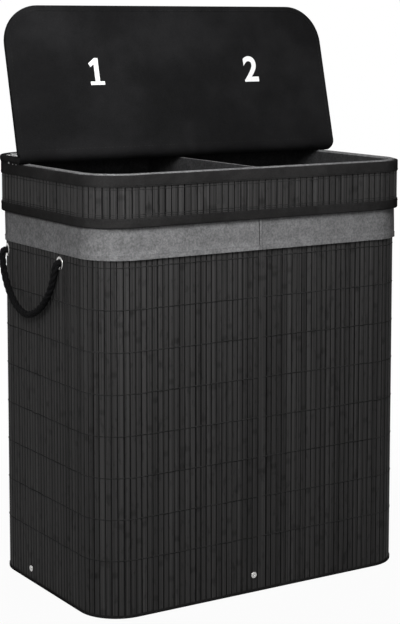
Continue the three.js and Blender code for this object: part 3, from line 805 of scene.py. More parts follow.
def apply_modifier(piece, kind, **settings):
    """Adds a modifier with its settings and applies it."""
    alone(piece)
    modifier = piece.modifiers.new(kind.title(), kind)
    for key, value in settings.items():
        setattr(modifier, key, value)
    bpy.ops.object.modifier_apply(modifier=modifier.name)
    return piece


def round_edges(radius, steps):
    """In edit mode, rounds the selected edges."""
    bpy.ops.mesh.bevel(offset=radius, segments=steps, profile=0.5, affect="EDGES", clamp_overlap=False)


def face_outwards():
    """In edit mode, turns every face outwards."""
    bpy.ops.mesh.select_all(action="SELECT")
    bpy.ops.mesh.normals_make_consistent(inside=False)


def smooth(piece, degrees=SOLID_ANGLE):
    """Smooth shading, with edges sharper than an angle kept."""
    alone(piece)
    bpy.ops.object.shade_smooth_by_angle(angle=math.radians(degrees))
    return piece


def softened(piece, radius):
    """Rounds every sharp edge of a solid a little."""
    return apply_modifier(piece, "BEVEL", width=radius, segments=2)


def block(name, low, high):
    """A box between two corners."""
    low, high = Vector(low), Vector(high)
    piece = added(bpy.ops.mesh.primitive_cube_add, high - low, size=1, location=(low + high) / 2)
    return named(piece, name)


def cylinder(place, turn, radius, length, sides, ends="NGON"):
    """A cylinder round a place."""
    return added(
        bpy.ops.mesh.primitive_cylinder_add,
        location=place,
        rotation=turn,
        radius=radius,
        depth=length,
        vertices=sides,
        end_fill_type=ends,
    )


def flat_ring(place, turn, radius, steps):
    """A round ring pressed to half its height."""
    return added(
        bpy.ops.mesh.primitive_torus_add,
        RING_SHAPE,
        location=place,
        rotation=turn,
        major_radius=radius,
        minor_radius=RING_ROUND,
        major_segments=steps,
        minor_segments=RING_SIDES,
    )


def grow(plan, out):
    """The outline moved outwards all round, or inwards where `out` is below 0."""
    radii = (max(LEAST_RADIUS, radius + out) for radius in (plan.front_radius, plan.rear_radius))
    return Plan(plan.left - out, plan.right + out, plan.front - out, plan.rear + out, *radii)


def plan_block(name, plan, low, high):
    """A block with the outline's round upright corners."""
    piece = block(name, (plan.left, plan.front, low), (plan.right, plan.rear, high))
    middle = (plan.front + plan.rear) / 2
    edit(piece)
    for radius, at_rear in ((plan.front_radius, False), (plan.rear_radius, True)):
        pick(piece, "EDGE", lambda e: upright(e) and (e.verts[0].co.y > middle) == at_rear)
        round_edges(radius, CORNER_STEPS if radius > TIGHT_CORNER else TIGHT_CORNER_STEPS)
    done()
    return piece


def split_runs(piece):
    """Cuts the long straight runs, so that the cloth can ripple."""
    edit(piece)
    for length in LONG_RUNS:
        pick(piece, "EDGE", lambda e: long_run(e, length))
        bpy.ops.mesh.subdivide(number_cuts=max(1, round(length / CLOTH_STEP)))
    done()


def cut_level(piece, heights):
    """Cuts level rows of edges through a piece."""
    edit(piece)
    for height in heights:
        bpy.ops.mesh.select_all(action="SELECT")
        bpy.ops.mesh.bisect(plane_co=(0, 0, height), plane_no=(0, 0, 1))
    done()


def facing(heading):
    """The outward direction where the outline runs along a heading."""
    return Vector((math.sin(heading), -math.cos(heading)))


def walk(plan, distance):
    """The point and the heading at a distance along the outline from the middle of its front."""
    wide = plan.right - plan.left
    deep = plan.rear - plan.front - plan.front_radius - plan.rear_radius
    straights = (wide / 2 - plan.front_radius, deep, wide - 2 * plan.rear_radius, deep)
    radii = (plan.front_radius, plan.rear_radius, plan.rear_radius, plan.front_radius)
    spot = Vector(((plan.left + plan.right) / 2, plan.front))
    heading = 0.0
    left_over = distance % perimeter(plan)
    for straight, radius in zip(straights, radii):
        step = min(left_over, straight)
        spot += step * Vector((math.cos(heading), math.sin(heading)))
        left_over -= step
        if left_over <= 0:
            return spot, heading
        centre = spot - radius * facing(heading)
        turned = min(left_over / radius, math.pi / 2)
        heading += turned
        spot = centre + radius * facing(heading)
        left_over -= turned * radius
        if left_over <= 0:
            return spot, heading
    spot += left_over * Vector((math.cos(heading), math.sin(heading)))
    return spot, heading


def perimeter(plan):
    """Length all round an outline."""
    straight = 2 * (plan.right - plan.left) + 2 * (plan.rear - plan.front)
    return straight - (4 - math.pi) * (plan.front_radius + plan.rear_radius)


def at_station(plan, distance, out, height):
    """The point at a distance along the outline, moved outwards and to a height."""
    spot, heading = walk(plan, distance)
    return Vector((*(spot + out * facing(heading)), height))


def standing_at(plan, distance, out, height):
    """The place and turn of a piece that stands at a distance along the outline and faces outwards."""
    heading = walk(plan, distance)[1]
    return Matrix.Translation(at_station(plan, distance, out, height)) @ Matrix.Rotation(heading, 4, "Z")


def outline_y(plan, x, at_rear):
    """Where the outline's front or rear edge lies at a given x."""
    radius = plan.rear_radius if at_rear else plan.front_radius
    past = max(0.0, radius - min(x - plan.left, plan.right - x))
    setback = radius - math.sqrt(max(0.0, radius * radius - past * past))
    return plan.rear - setback if at_rear else plan.front + setback


def chance(place):
    """A value from 0 to 1 that changes smoothly from place to place."""
    return 0.5 + 0.5 * noise.noise(place)


# Placing


def coat(piece, finish):
    """Gives a finished piece its material."""
    piece.data.materials.clear()
    piece.data.materials.append(finish_of(finish))
    return piece


def dress(piece, finish, body, slot, nodes=()):
    """Gives a finished piece its material, its body, its slot and the CAD nodes that it stands for."""
    coat(piece, finish)
    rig.ride(piece, body)
    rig.slot(piece, slot)
    if nodes:
        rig.replaces(piece, *nodes)
    return piece


def lid_turn(share=1.0):
    """The turn about the hinge line from the closed lid to the open one, or a share of it."""
    turn = Matrix.Rotation(-LID_OPEN * share, 4, "X")
    return Matrix.Translation(HINGE) @ turn @ Matrix.Translation(-HINGE)


def open_lid(piece):
    """Turns a piece that was made on the closed lid to where the lid stands open."""
    piece.data.transform(lid_turn())
    return piece


def repaint(nodes, finish):
    """Gives CAD nodes that stay shown a better material."""
    for name in nodes:
        for slot in frame["nodes"][name].material_slots:
            slot.material = finish_of(finish)


# Material nodes


def add_node(tree, kind, inputs, **settings):
    """Adds a node. An input is a number, a colour or another node's output."""
    node = tree.nodes.new(kind)
    for key, value in settings.items():
        setattr(node, key, value)
    for key, value in inputs.items():
        if isinstance(value, bpy.types.NodeSocket):
            tree.links.new(value, node.inputs[key])
        else:
            node.inputs[key].default_value = value
    return node


def maths(tree, operation, *values):
    """The result of one calculation."""
    inputs = dict(enumerate(values))
    return add_node(tree, "ShaderNodeMath", inputs, operation=operation).outputs[0]


def ranged(tree, value, low, high, to_low, to_high):
    """A value moved from one range to another, with soft ends."""
    inputs = {"Value": value, 1: low, 2: high, 3: to_low, 4: to_high}
    return add_node(tree, "ShaderNodeMapRange", inputs, interpolation_type="SMOOTHSTEP").outputs[0]


def stretched(tree, vector, scale):
    """A position scaled along each axis."""
    return add_node(tree, "ShaderNodeMapping", {"Vector": vector, "Scale": scale}).outputs[0]


def cloudy(tree, vector, scale, detail=3.0, rough=0.55):
    """Soft noise from 0 to 1."""
    inputs = {"Vector": vector, "Scale": scale, "Detail": detail, "Roughness": rough}
    return add_node(tree, "ShaderNodeTexNoise", inputs).outputs["Fac"]


def object_place(tree):
    """Position in the object's own coordinates."""
    return add_node(tree, "ShaderNodeTexCoord", {}).outputs["Object"]


def start_material(name, rough, **surface):
    """A material with its surface's plain numbers set. Its name is not one of the frame's own."""
    material = bpy.data.materials.new(name + FINISH_ENDING)
    material.use_nodes = True
    shader = material.node_tree.nodes["Principled BSDF"]
    shader.inputs["Roughness"].default_value = rough
    for key, value in surface.items():
        shader.inputs[key.replace("_", " ")].default_value = value
    return material, material.node_tree, shader


def paint(tree, shader, colour, factor):
    """Colours the surface, brighter or darker by a factor that varies over it."""
    inputs = {0: colour[:3], "Scale": factor}
    scaled = add_node(tree, "ShaderNodeVectorMath", inputs, operation="SCALE")
    tree.links.new(scaled.outputs[0], shader.inputs["Base Color"])


def emboss(tree, shader, height, strength, distance):
    """Raises the surface by a height from 0 to 1."""
    inputs = {"Height": height, "Strength": strength, "Distance": distance}
    bump = add_node(tree, "ShaderNodeBump", inputs)
    tree.links.new(bump.outputs[0], shader.inputs["Normal"])


def product(tree, *values):
    """Several factors multiplied."""
    total = values[0]
    for value in values[1:]:
        total = maths(tree, "MULTIPLY", total, value)
    return total


def weave(tree, place, pitch):
    """Crossing threads of a cloth, on any face."""
    turns = 2 * math.pi / pitch
    split = add_node(tree, "ShaderNodeSeparateXYZ", {"Vector": place})
    waves = [maths(tree, "SINE", maths(tree, "MULTIPLY", axis, turns)) for axis in split.outputs]
    pairs = [product(tree, waves[a], waves[b]) for a, b in ((0, 1), (1, 2), (0, 2))]
    total = maths(tree, "ADD", maths(tree, "ADD", pairs[0], pairs[1]), pairs[2])
    return ranged(tree, total, -1.0, 1.0, 0.0, 1.0)


def bamboo_material(colour):
    """Black-stained split bamboo: long fibres, painted shade and dirt in the grooves along each slat's long edges, a
    tone for each slat and the cane's joints.
    """
    material, tree, shader = start_material("stained_bamboo", BAMBOO_ROUGH, Specular_IOR_Level=0.02)
    grain = add_node(tree, "ShaderNodeAttribute", {}, attribute_name="grain").outputs["Vector"]
    across = add_node(tree, "ShaderNodeAttribute", {}, attribute_name="across").outputs["Fac"]
    split = add_node(tree, "ShaderNodeSeparateXYZ", {"Vector": grain})
    along, tone = split.outputs["Y"], split.outputs["Z"]
    fibres = cloudy(tree, stretched(tree, grain, FIBRE_SCALE), 1.0, 4.0, 0.6)
    streaks = cloudy(tree, stretched(tree, grain, STREAK_SCALE), 1.0, 1.0)
    cracks = cloudy(tree, stretched(tree, grain, CRACK_SCALE), 1.0, 0.0)
    knots = cloudy(tree, stretched(tree, grain, KNOT_SCALE), 1.0, 2.0)
    scattered = maths(tree, "MULTIPLY", tone, JOINT_SCATTER)
    turns = maths(tree, "ADD", maths(tree, "DIVIDE", along, JOINT_SPACING), scattered)
    off_joint = maths(tree, "ABSOLUTE", maths(tree, "SUBTRACT", maths(tree, "FRACT", turns), 0.5))
    ring = ranged(tree, off_joint, 0.0, 0.006, 1.0, 0.0)
    stains = cloudy(tree, stretched(tree, object_place(tree), STAIN_SCALE), 1.0, 3.0, 0.6)
    factor = product(
        tree,
        # Painted shade: each slat darkens towards its long edges, where the grooves lie in shade and gather some dirt
        ranged(tree, maths(tree, "ABSOLUTE", across), 0.85, 1.0, 1.0, 0.42),
        ranged(tree, off_joint, 0.004, 0.024, 0.72, 1.0),
        ranged(tree, tone, 0.0, 1.0, 0.90, 1.10),
        ranged(tree, knots, 0.30, 0.44, 0.75, 1.0),
        ranged(tree, fibres, 0.3, 0.7, 0.88, 1.12),
        ranged(tree, streaks, 0.35, 0.65, 0.78, 1.20),
        ranged(tree, cracks, 0.28, 0.40, 0.66, 1.0),
        ranged(tree, stains, 0.27, 0.39, 0.68, 1.0),
    )
    paint(tree, shader, colour, factor)
    height = maths(tree, "ADD", fibres, maths(tree, "MULTIPLY", ring, JOINT_HEIGHT))
    emboss(tree, shader, height, *BAMBOO_RELIEF)
    return material


def cloth_material(name, colour):
    """A plain woven cloth, a little uneven from yarn to yarn, with soft clouds that are partly wear and partly painted
    light of broad folds, and painted light and shade on its small folds.
    """
    pitch, mottle, crumple = WEAVES[name]
    material, tree, shader = start_material(name, CLOTH_ROUGH, Specular_IOR_Level=0.0)
    place = object_place(tree)
    threads = weave(tree, place, pitch)
    yarn = cloudy(tree, place, YARN_SCALE, 2.0)
    crumpled = cloudy(tree, place, CRUMPLE_SCALE, 3.0, 0.6)
    wear_and_fold_light = cloudy(tree, place, WEAR_AND_FOLD_LIGHT_SCALE, 3.0, 0.6)
    factor = product(
        tree,
        ranged(tree, threads, 0.0, 1.0, 1 - mottle * 0.5, 1 + mottle * 0.5),
        ranged(tree, yarn, 0.3, 0.7, 1 - mottle, 1 + mottle),
        # Painted light and shade: the colour follows the soft folds' height, lighter on their ridges and darker in
        # their hollows
        ranged(tree, crumpled, 0.3, 0.7, 1 - crumple, 1 + crumple),
        # Partly wear, partly painted light: broad soft clouds that stand in for the light on large folds of the cloth
        ranged(tree, wear_and_fold_light, 0.35, 0.65, 1 - 1.4 * mottle, 1 + 1.4 * mottle),
    )
    paint(tree, shader, colour, factor)
    folds = maths(tree, "MULTIPLY", crumpled, CRUMPLE_HEIGHT * crumple)
    emboss(tree, shader, maths(tree, "ADD", maths(tree, "ADD", threads, yarn), folds), *CLOTH_RELIEF)
    return material


def heather_material(name, colour):
    """Liner cloth: pale and dark fibres mixed, matted rather than woven."""
    material, tree, shader = start_material(name, LINER_ROUGH, Specular_IOR_Level=0.0)
    place = object_place(tree)
    fleck = cloudy(tree, place, FLECK_SCALE, 4.0, 0.7)
    cloud = cloudy(tree, place, CLOUD_SCALE, 3.0, 0.6)
    drift = cloudy(tree, place, DRIFT_SCALE, 2.0)
    factor = product(
        tree,
        ranged(tree, fleck, 0.34, 0.66, 0.77, 1.23),
        ranged(tree, cloud, 0.3, 0.7, 0.86, 1.14),
        ranged(tree, drift, 0.3, 0.7, 0.94, 1.06),
    )
    paint(tree, shader, colour, factor)
    emboss(tree, shader, maths(tree, "ADD", fleck, weave(tree, place, LINER_PITCH)), *LINER_RELIEF)
    return material


def rope_material(colour):
    """Spun yarns that wind round each strand, from the strand's own coordinates."""
    material, tree, shader = start_material("twisted_rope", ROPE_ROUGH, Specular_IOR_Level=0.03)
    yarn = add_node(tree, "ShaderNodeAttribute", {}, attribute_name="yarn").outputs["Vector"]
    split = add_node(tree, "ShaderNodeSeparateXYZ", {"Vector": yarn})
    around = maths(tree, "MULTIPLY", split.outputs["X"], YARNS_ROUND)
    lengthwise = maths(tree, "MULTIPLY", split.outputs["Y"], YARN_TWIST)
    lines = maths(tree, "SINE", maths(tree, "ADD", around, lengthwise))
    fuzz = cloudy(tree, object_place(tree), FUZZ_SCALE, 3.0)
    factor = product(
        tree, ranged(tree, lines, -1.0, 1.0, 0.65, 1.3), ranged(tree, fuzz, 0.3, 0.7, 0.8, 1.2)
    )
    paint(tree, shader, colour, factor)
    emboss(tree, shader, maths(tree, "ADD", lines, fuzz), *ROPE_RELIEF)
    return material


def metal_material(name, colour, rough):
    """Plated or drawn metal, slightly uneven."""
    material, tree, shader = start_material(name, rough, Metallic=1.0)
    place = object_place(tree)
    clouds = cloudy(tree, place, METAL_CLOUD_SCALE, 3.0)
    paint(tree, shader, colour, ranged(tree, clouds, 0.3, 0.7, 0.92, 1.04))
    tree.links.new(ranged(tree, clouds, 0.3, 0.7, rough * 0.8, rough * 1.3), shader.inputs["Roughness"])
    emboss(tree, shader, cloudy(tree, place, METAL_GRAIN_SCALE, 2.0), *METAL_RELIEF)
    return material


def board_material(colour):
    """Pressed grey board with short fibres."""
    material, tree, shader = start_material("pressed_board", BOARD_ROUGH)
    place = object_place(tree)
    fibres = cloudy(tree, stretched(tree, place, BOARD_FIBRE_SCALE), 1.0, 4.0, 0.7)
    clouds = cloudy(tree, place, BOARD_CLOUD_SCALE, 3.0)
    factor = product(
        tree, ranged(tree, fibres, 0.3, 0.7, 0.82, 1.18), ranged(tree, clouds, 0.3, 0.7, 0.94, 1.06)
    )
    paint(tree, shader, colour, factor)
    emboss(tree, shader, fibres, *BOARD_RELIEF)
    return material


def ink_material(colour):
    """White print that has sunk a little into the cloth."""
    material, tree, shader = start_material("white_print", PRINT_ROUGH)
    place = object_place(tree)
    threads = weave(tree, place, LINING_PITCH)
    thin = cloudy(tree, place, FLECK_SCALE, 3.0)
    factor = product(
        tree, ranged(tree, threads, 0.0, 1.0, 0.94, 1.02), ranged(tree, thin, 0.3, 0.7, 0.94, 1.03)
    )
    paint(tree, shader, colour, factor)
    emboss(tree, shader, threads, *PRINT_RELIEF)
    return material


def finish_of(name):
    """The material of one finish, made once."""
    made = bpy.data.materials.get(name + FINISH_ENDING)
    if made:
        return made
    c = colours()
    makers = {
        "stained_bamboo": lambda: bamboo_material(c.bamboo),
        "binding_thread": lambda: cloth_material("binding_thread", c.thread),
        "pale_thread": lambda: cloth_material("pale_thread", c.pale_thread),
        "binding_cloth": lambda: cloth_material("binding_cloth", c.binding),
        "lining_cloth": lambda: cloth_material("lining_cloth", c.lining),
        "grey_liner_cloth": lambda: heather_material("grey_liner_cloth", c.liner),
        # Painted shade: the grey liner cloth, darkened for the shade inside the bins
        "dark_bag_cloth": lambda: heather_material("dark_bag_cloth", c.bag),
        "twisted_rope": lambda: rope_material(c.rope),
        "nickel": lambda: metal_material("nickel", c.nickel, NICKEL_ROUGH),
        "steel": lambda: metal_material("steel", c.steel, STEEL_ROUGH),
        "pressed_board": lambda: board_material(c.board),
        "white_print": lambda: ink_material(c.ink),
    }
    return makers[name]()


# Camera, floor and light


def add_camera():
    """The photograph's viewpoint. The shift only keeps the object's upright edges near upright."""
    data = bpy.data.cameras.new("camera")
    data.sensor_width = SENSOR
    data.lens = FOCAL_PIXELS * SENSOR / IMAGE_LONG_SIDE
    data.shift_y = CAMERA_SHIFT
    data.clip_end = CLIP_END
    camera = placed("camera", data)
    camera.location = CAMERA_PLACE
    camera.rotation_euler = (math.pi / 2 - CAMERA_PITCH, 0, -CAMERA_YAW)
    bpy.context.scene.camera = camera


def seen_directly(tree):
    """1 for what the eye, a mirror or glass sees, and 0 for the light on surfaces."""
    path = add_node(tree, "ShaderNodeLightPath", {})
    direct = maths(tree, "MAXIMUM", path.outputs["Is Camera Ray"], path.outputs["Is Glossy Ray"])
    return maths(tree, "MAXIMUM", direct, path.outputs["Is Transmission Ray"])


def add_floor():
    """A pale floor that looks nearly white and keeps a soft shadow."""
    floor = added(
        bpy.ops.mesh.primitive_circle_add,
        vertices=FLOOR_STEPS,
        radius=FLOOR_RADIUS,
        fill_type="NGON",
        location=(0, 0, -FLOOR_LOWER),
    )
    named(floor, "floor")
    material = bpy.data.materials.new("pale_floor")
    material.use_nodes = True
    tree = material.node_tree
    tree.nodes.clear()
    specks = cloudy(tree, object_place(tree), FLOOR_SCALE, 2.0)
    colour = add_node(tree, "ShaderNodeCombineColor", {})
    for channel in colour.inputs:
        tree.links.new(ranged(tree, specks, 0.3, 0.7, *FLOOR_COLOURS), channel)
    matt = add_node(tree, "ShaderNodeBsdfDiffuse", {"Color": colour.outputs[0]})
    white = add_node(tree, "ShaderNodeEmission", {"Color": (1, 1, 1, 1), "Strength": 1.0})
    away = add_node(tree, "ShaderNodeVectorMath", {0: object_place(tree)}, operation="LENGTH")
    white_share = ranged(tree, away.outputs["Value"], *FLOOR_WHITE_DISTANCES, *FLOOR_WHITE)
    share = maths(tree, "MULTIPLY", seen_directly(tree), white_share)
    mix = add_node(tree, "ShaderNodeMixShader", {0: share, 1: matt.outputs[0], 2: white.outputs[0]})
    out = tree.nodes.new("ShaderNodeOutputMaterial")
    tree.links.new(mix.outputs[0], out.inputs["Surface"])
    floor.data.materials.append(material)
    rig.stage(floor)


def add_world():
    """Even white surroundings that are much dimmer as a light than as a background."""
    world = bpy.data.worlds.new("studio")
    world.use_nodes = True
    tree = world.node_tree
    background = tree.nodes["Background"]
    background.inputs["Color"].default_value = (1, 1, 1, 1)
    direct = maths(tree, "MULTIPLY", seen_directly(tree), 1 - WORLD_LIGHT)
    tree.links.new(maths(tree, "ADD", direct, WORLD_LIGHT), background.inputs["Strength"])
    bpy.context.scene.world = world


def add_lamp(name, place, aim, size, power):
    """A square soft light that points at a spot."""
    data = bpy.data.lights.new(name, "AREA")
    data.shape = "SQUARE"
    data.size = size
    data.energy = power
    lamp = placed(name, data)
    lamp.location = place
    lamp.rotation_euler = (Vector(aim) - Vector(place)).to_track_quat("-Z", "Y").to_euler()
    lamp.visible_camera = False


# Slats and threads


def slat_model(name, width, thickness):
    """One upright slat, 1 m long, with its outer face on y = 0 and that face's long edges rounded."""
    piece = block(name, (-width / 2, 0, 0), (width / 2, thickness, 1))
    edit(piece)
    pick(piece, "EDGE", lambda e: upright(e) and all(near(v.co.y, 0) for v in e.verts))
    round_edges(SLAT_ROUNDING, steps=2)
    done()
    grain = piece.data.attributes.new("grain", "FLOAT_VECTOR", "POINT")
    grain.data.foreach_set("vector", [x for v in piece.data.vertices for x in (v.co.x, v.co.z, 0)])
    # across runs from -1 to 1 over the slat's width; the bamboo paints the grooves' shade near both ends of it
    across = piece.data.attributes.new("across", "FLOAT", "POINT")
    across.data.foreach_set("value", [2 * v.co.x / width for v in piece.data.vertices])
    return piece


def copy_slat(model, length, dice, place):
    """A copy of the slat at a length and place, with tone, width and sideways place left to chance."""
    tone = dice.random()
    uneven = Matrix.Diagonal((dice.uniform(*SLAT_WIDTHS), 1, length, 1))
    aside = Matrix.Translation((dice.uniform(-SLAT_ASIDE, SLAT_ASIDE), 0, 0))
    piece = placed(model.name, model.data.copy())
    for vertex, value in zip(piece.data.vertices, piece.data.attributes["grain"].data):
        value.vector = (vertex.co.x, vertex.co.z * length, tone)
    piece.data.transform(place @ aside @ uneven)
    return piece


def wall_slats(name, plan, stations, width, low, high, dice):
    """Upright slats round an outline, as one object."""
    model = slat_model(name, width, sizes().slat_thickness)
    made = []
    for station in stations:
        place = standing_at(plan, station, -dice.uniform(0, SLAT_SUNK), low)
        made.append(copy_slat(model, high - low, dice, place))
    bpy.data.objects.remove(model)
    return smooth(join(made, name), SLAT_ANGLE)


def spread_evenly(start, end, pitch):
    """Middles of equal shares of a run, each about a pitch long."""
    count = round((end - start) / pitch)
    return [start + (k + 0.5) * (end - start) / count for k in range(count)]


def poly_line(name, points, closed, dimensions):
    """A curve of straight steps through points."""
    curve = bpy.data.curves.new(name, "CURVE")
    curve.dimensions = dimensions
    line = curve.splines.new("POLY")
    line.points.add(len(points) - 1)
    line.points.foreach_set("co", [x for p in points for x in (*p, 1)])
    line.use_cyclic_u = closed
    return placed(name, curve)


def thread_line(name, points, radius, closed):
    """A thread through points, as a mesh."""
    line = poly_line(name, points, closed, "3D")
    line.data.bevel_depth = radius
    line.data.bevel_resolution = 0
    return as_mesh(line, name)


def wall_threads(name, plan, stations, pitch, heights, radius, dice):
    """Threads pressed flat over the slats, that dip into the grooves between them."""
    over = pitch / 2 - THREAD_TURN
    sunk = THREAD_SUNK * radius
    made = []
    for height in heights:
        points = []
        for station in stations:
            z = height + dice.uniform(-WALL_THREAD_SWAY, WALL_THREAD_SWAY)
            points.append(at_station(plan, station - over, -sunk, z))
            points.append(at_station(plan, station + over, -sunk, z))
            points.append(at_station(plan, station + pitch / 2, -sunk - THREAD_DIP, z))
        made.append(thread_line(name, points, radius, True))
    return smooth(join(made, name), CORD_ANGLE)


def running_stitch(name, spot_at, length):
    """Stitches that lie on the cloth and dip under it by turns. `spot_at` takes a distance and a level."""
    count = 2 * round(length / sizes().stitch_length / 2)
    step = length / count
    points = []
    for k in range(0, count, 2):
        points.append(spot_at(k * step + STITCH_GAP, STITCH_LIFT))
        points.append(spot_at((k + 1) * step - STITCH_GAP, STITCH_LIFT))
        points.append(spot_at((k + 1.5) * step, -STITCH_DIP))
    return smooth(thread_line(name, points, STITCH_RADIUS, True), CORD_ANGLE)


def hoop_stitch(name, plan, out, height):
    """A running stitch round a wall or band."""
    grown = grow(plan, out)

    def spot_at(distance, level):
        """The point at a distance round the wall, with the level outwards."""
        return at_station(grown, distance, level, height)

    return running_stitch(name, spot_at, perimeter(grown))


def flat_stitch(name, plan, inset, height, way):
    """A running stitch round a flat panel, on its upper face where `way` is 1, or its lower one for -1."""
    shrunk = grow(plan, -inset)

    def spot_at(distance, level):
        """The point at a distance round the panel, with the level upwards or downwards."""
        return at_station(shrunk, distance, 0, height + way * level)

    return running_stitch(name, spot_at, perimeter(shrunk))


# Cloth bands


def folded_band(name, plan, out, edge, fold, width, inner_edge, rounding):
    """A band folded over an edge: an outer leg from `edge` to `fold`, and one back to `inner_edge`."""
    piece = plan_block(name, grow(plan, out), min(edge, fold), max(edge, fold))
    edit(piece)
    pick(piece, "FACE", level_at(edge))
    bpy.ops.mesh.delete(type="ONLY_FACE")
    pick(piece, "FACE", level_at(fold))
    bpy.ops.mesh.inset(thickness=width, depth=0)
    bpy.ops.mesh.delete(type="ONLY_FACE")
    pick(piece, "EDGE", lambda e: e.is_boundary and level_at(fold)(e))
    bpy.ops.mesh.extrude_edges_move(TRANSFORM_OT_translate={"value": (0, 0, inner_edge - fold)})
    pick(piece, "EDGE", lambda e: level_at(fold)(e) and e.calc_face_angle(0) > 1)
    round_edges(rounding, steps=3)
    face_outwards()
    done()
    split_runs(piece)
    return piece


def thicken(piece, thickness, even=True):
    """Gives a sheet its thickness, inwards."""
    return apply_modifier(piece, "SOLIDIFY", thickness=thickness, offset=-1.0, use_even_offset=even)


def plain_band(name, plan, out, low, high, thickness):
    """An upright band round an outline."""
    piece = plan_block(name, grow(plan, out), low, high)
    edit(piece)
    pick(piece, "FACE", lambda f: abs(f.normal.z) > LEVEL_FACE)
    bpy.ops.mesh.delete(type="ONLY_FACE")
    done()
    return thicken(piece, thickness)


def nudge(piece, shift_of):
    """Moves each vertex by what a rule gives for its place."""
    for vertex in piece.data.vertices:
        vertex.co += shift_of(vertex.co)
    piece.data.update()
    return piece


def plan_outward(plan, point):
    """The outward direction of the outline nearest to a point."""
    corner_x = max(abs(point.x) - (plan.right - plan.front_radius), 0)
    corner_y = max(abs(point.y) - (plan.rear - plan.rear_radius), 0)
    if corner_x > 0 and corner_y > 0:
        way = Vector((corner_x, corner_y, 0)).normalized()
    else:
        way = Vector((1, 0, 0)) if corner_x > corner_y else Vector((0, 1, 0))
    return Vector((math.copysign(way.x, point.x), math.copysign(way.y, point.y), 0))


def puckered(piece):
    """A little unevenness, as where cloth is sewn round an edge. It only stands proud."""

    def shift(point):
        """How far the cloth stands out at a point."""
        return plan_outward(BODY, point) * (COLLAR_PUCKER * chance(point * COLLAR_PUCKER_SCALE))

    return nudge(piece, shift)


# Round and twisted pieces


def running_frames(points):
    """A steady pair of cross directions at each point of a line."""
    tangents = []
    for k in range(len(points)):
        before, after = points[max(k - 1, 0)], points[min(k + 1, len(points) - 1)]
        tangents.append((after - before).normalized())
    side = tangents[0].orthogonal().normalized()
    frames = []
    for tangent in tangents:
        side = (side - side.dot(tangent) * tangent).normalized()
        frames.append((side, tangent.cross(side)))
    return frames


def spaced_evenly(points, step):
    """The same line with points at equal steps."""
    lengths = [0.0]
    for a, b in zip(points, points[1:]):
        lengths.append(lengths[-1] + (b - a).length)
    count = max(2, round(lengths[-1] / step))
    spaced, k = [], 0
    for n in range(count + 1):
        wanted = lengths[-1] * n / count
        while k < len(points) - 2 and lengths[k + 1] < wanted:
            k += 1
        share = (wanted - lengths[k]) / (lengths[k + 1] - lengths[k])
        spaced.append(points[k].lerp(points[k + 1], share))
    return spaced, lengths[-1]


def tube(name, points, radius, sides, closed=False):
    """A round tube along a line, with closed ends, that knows each point's place round and along it."""
    frames = running_frames(points)
    verts, yarn, faces, run = [], [], [], 0.0
    for k, (point, (side, up)) in enumerate(zip(points, frames)):
        run += (point - points[k - 1]).length if k else 0
        for n in range(sides):
            angle = 2 * math.pi * n / sides
            verts.append(point + radius * (math.cos(angle) * side + math.sin(angle) * up))
            yarn += [angle, run, 0]
    rings = len(points)
    for k in range(rings - (0 if closed else 1)):
        here, there = k * sides, (k + 1) % rings * sides
        for n in range(sides):
            m = (n + 1) % sides
            faces.append((here + n, here + m, there + m, there + n))
    if not closed:
        faces += [tuple(reversed(range(sides))), tuple(range((rings - 1) * sides, rings * sides))]
    piece = from_faces(name, verts, faces)
    piece.data.attributes.new("yarn", "FLOAT_VECTOR", "POINT").data.foreach_set("vector", yarn)
    return piece


def eyelet_tilt(y):
    """How far the wall's outline has turned at a given y on a side."""
    past = max(0.0, abs(y) - (BODY.rear - BODY.rear_radius))
    return math.copysign(math.asin(past / BODY.rear_radius), y)


def wall_spot(side, y, height):
    """A point on the wall's side and the outward direction there."""
    tilt = eyelet_tilt(y)
    x = BODY.right - BODY.rear_radius * (1 - math.cos(tilt))
    return Vector((side * x, y, height)), Vector((side * math.cos(tilt), math.sin(tilt), 0))


def rope_route(side):
    """The handle's centreline: out at the front eyelet, down and up in a loop, and in at the rear."""
    middle, half = (ROPE_FRONT_Y + ROPE_REAR_Y) / 2, (ROPE_REAR_Y - ROPE_FRONT_Y) / 2
    loop = []
    for k in range(1, ROPE_STEPS):
        angle = math.pi * k / ROPE_STEPS
        across = -math.copysign(abs(math.cos(angle)) ** ROPE_POWER, math.cos(angle))
        down = math.sin(angle) ** ROPE_POWER
        x = side * (ROPE_AXIS_X + ROPE_STANDOFF * down)
        loop.append(Vector((x, middle + half * across, ROPE_HEIGHT - ROPE_DROP * down)))
    loop = [p for p in loop if p.z < ROPE_HEIGHT - ELBOW_DROP]
    ends = []
    for eyelet_y, pivot_y in ((ROPE_FRONT_Y, ROPE_FRONT_Y), (REAR_EYELET_Y, ROPE_REAR_Y)):
        outward = wall_spot(side, eyelet_y, ROPE_HEIGHT)[1]
        pivot = Vector((side * ROPE_AXIS_X, pivot_y, ROPE_HEIGHT))
        centre = pivot - ELBOW_RADIUS * (outward + UP)
        end = [pivot - (ELBOW_RADIUS + ROPE_INSIDE) * outward]
        for k in range(ELBOW_STEPS + 1):
            angle = math.pi / 2 * k / ELBOW_STEPS
            end.append(centre + ELBOW_RADIUS * (outward * math.sin(angle) + UP * math.cos(angle)))
        ends.append(end)
    return spaced_evenly(ends[0] + loop + ends[1][::-1], ROPE_STEP)


def twisted_rope(name, route):
    """Strands wound round one centreline."""
    diameter, lay = sizes().rope_diameter, sizes().rope_lay
    strand = diameter * STRAND_SHARE
    reach = diameter / 2 - strand
    frames = running_frames(route)
    strands = []
    for k in range(STRANDS):
        points, run = [], 0.0
        for n, (point, (side, up)) in enumerate(zip(route, frames)):
            run += (point - route[n - 1]).length if n else 0
            angle = 2 * math.pi * (run / lay + k / STRANDS)
            points.append(point + reach * (math.cos(angle) * side + math.sin(angle) * up))
        strands.append(tube(name, points, strand, STRAND_SIDES))
    return smooth(join(strands, name), CORD_ANGLE)


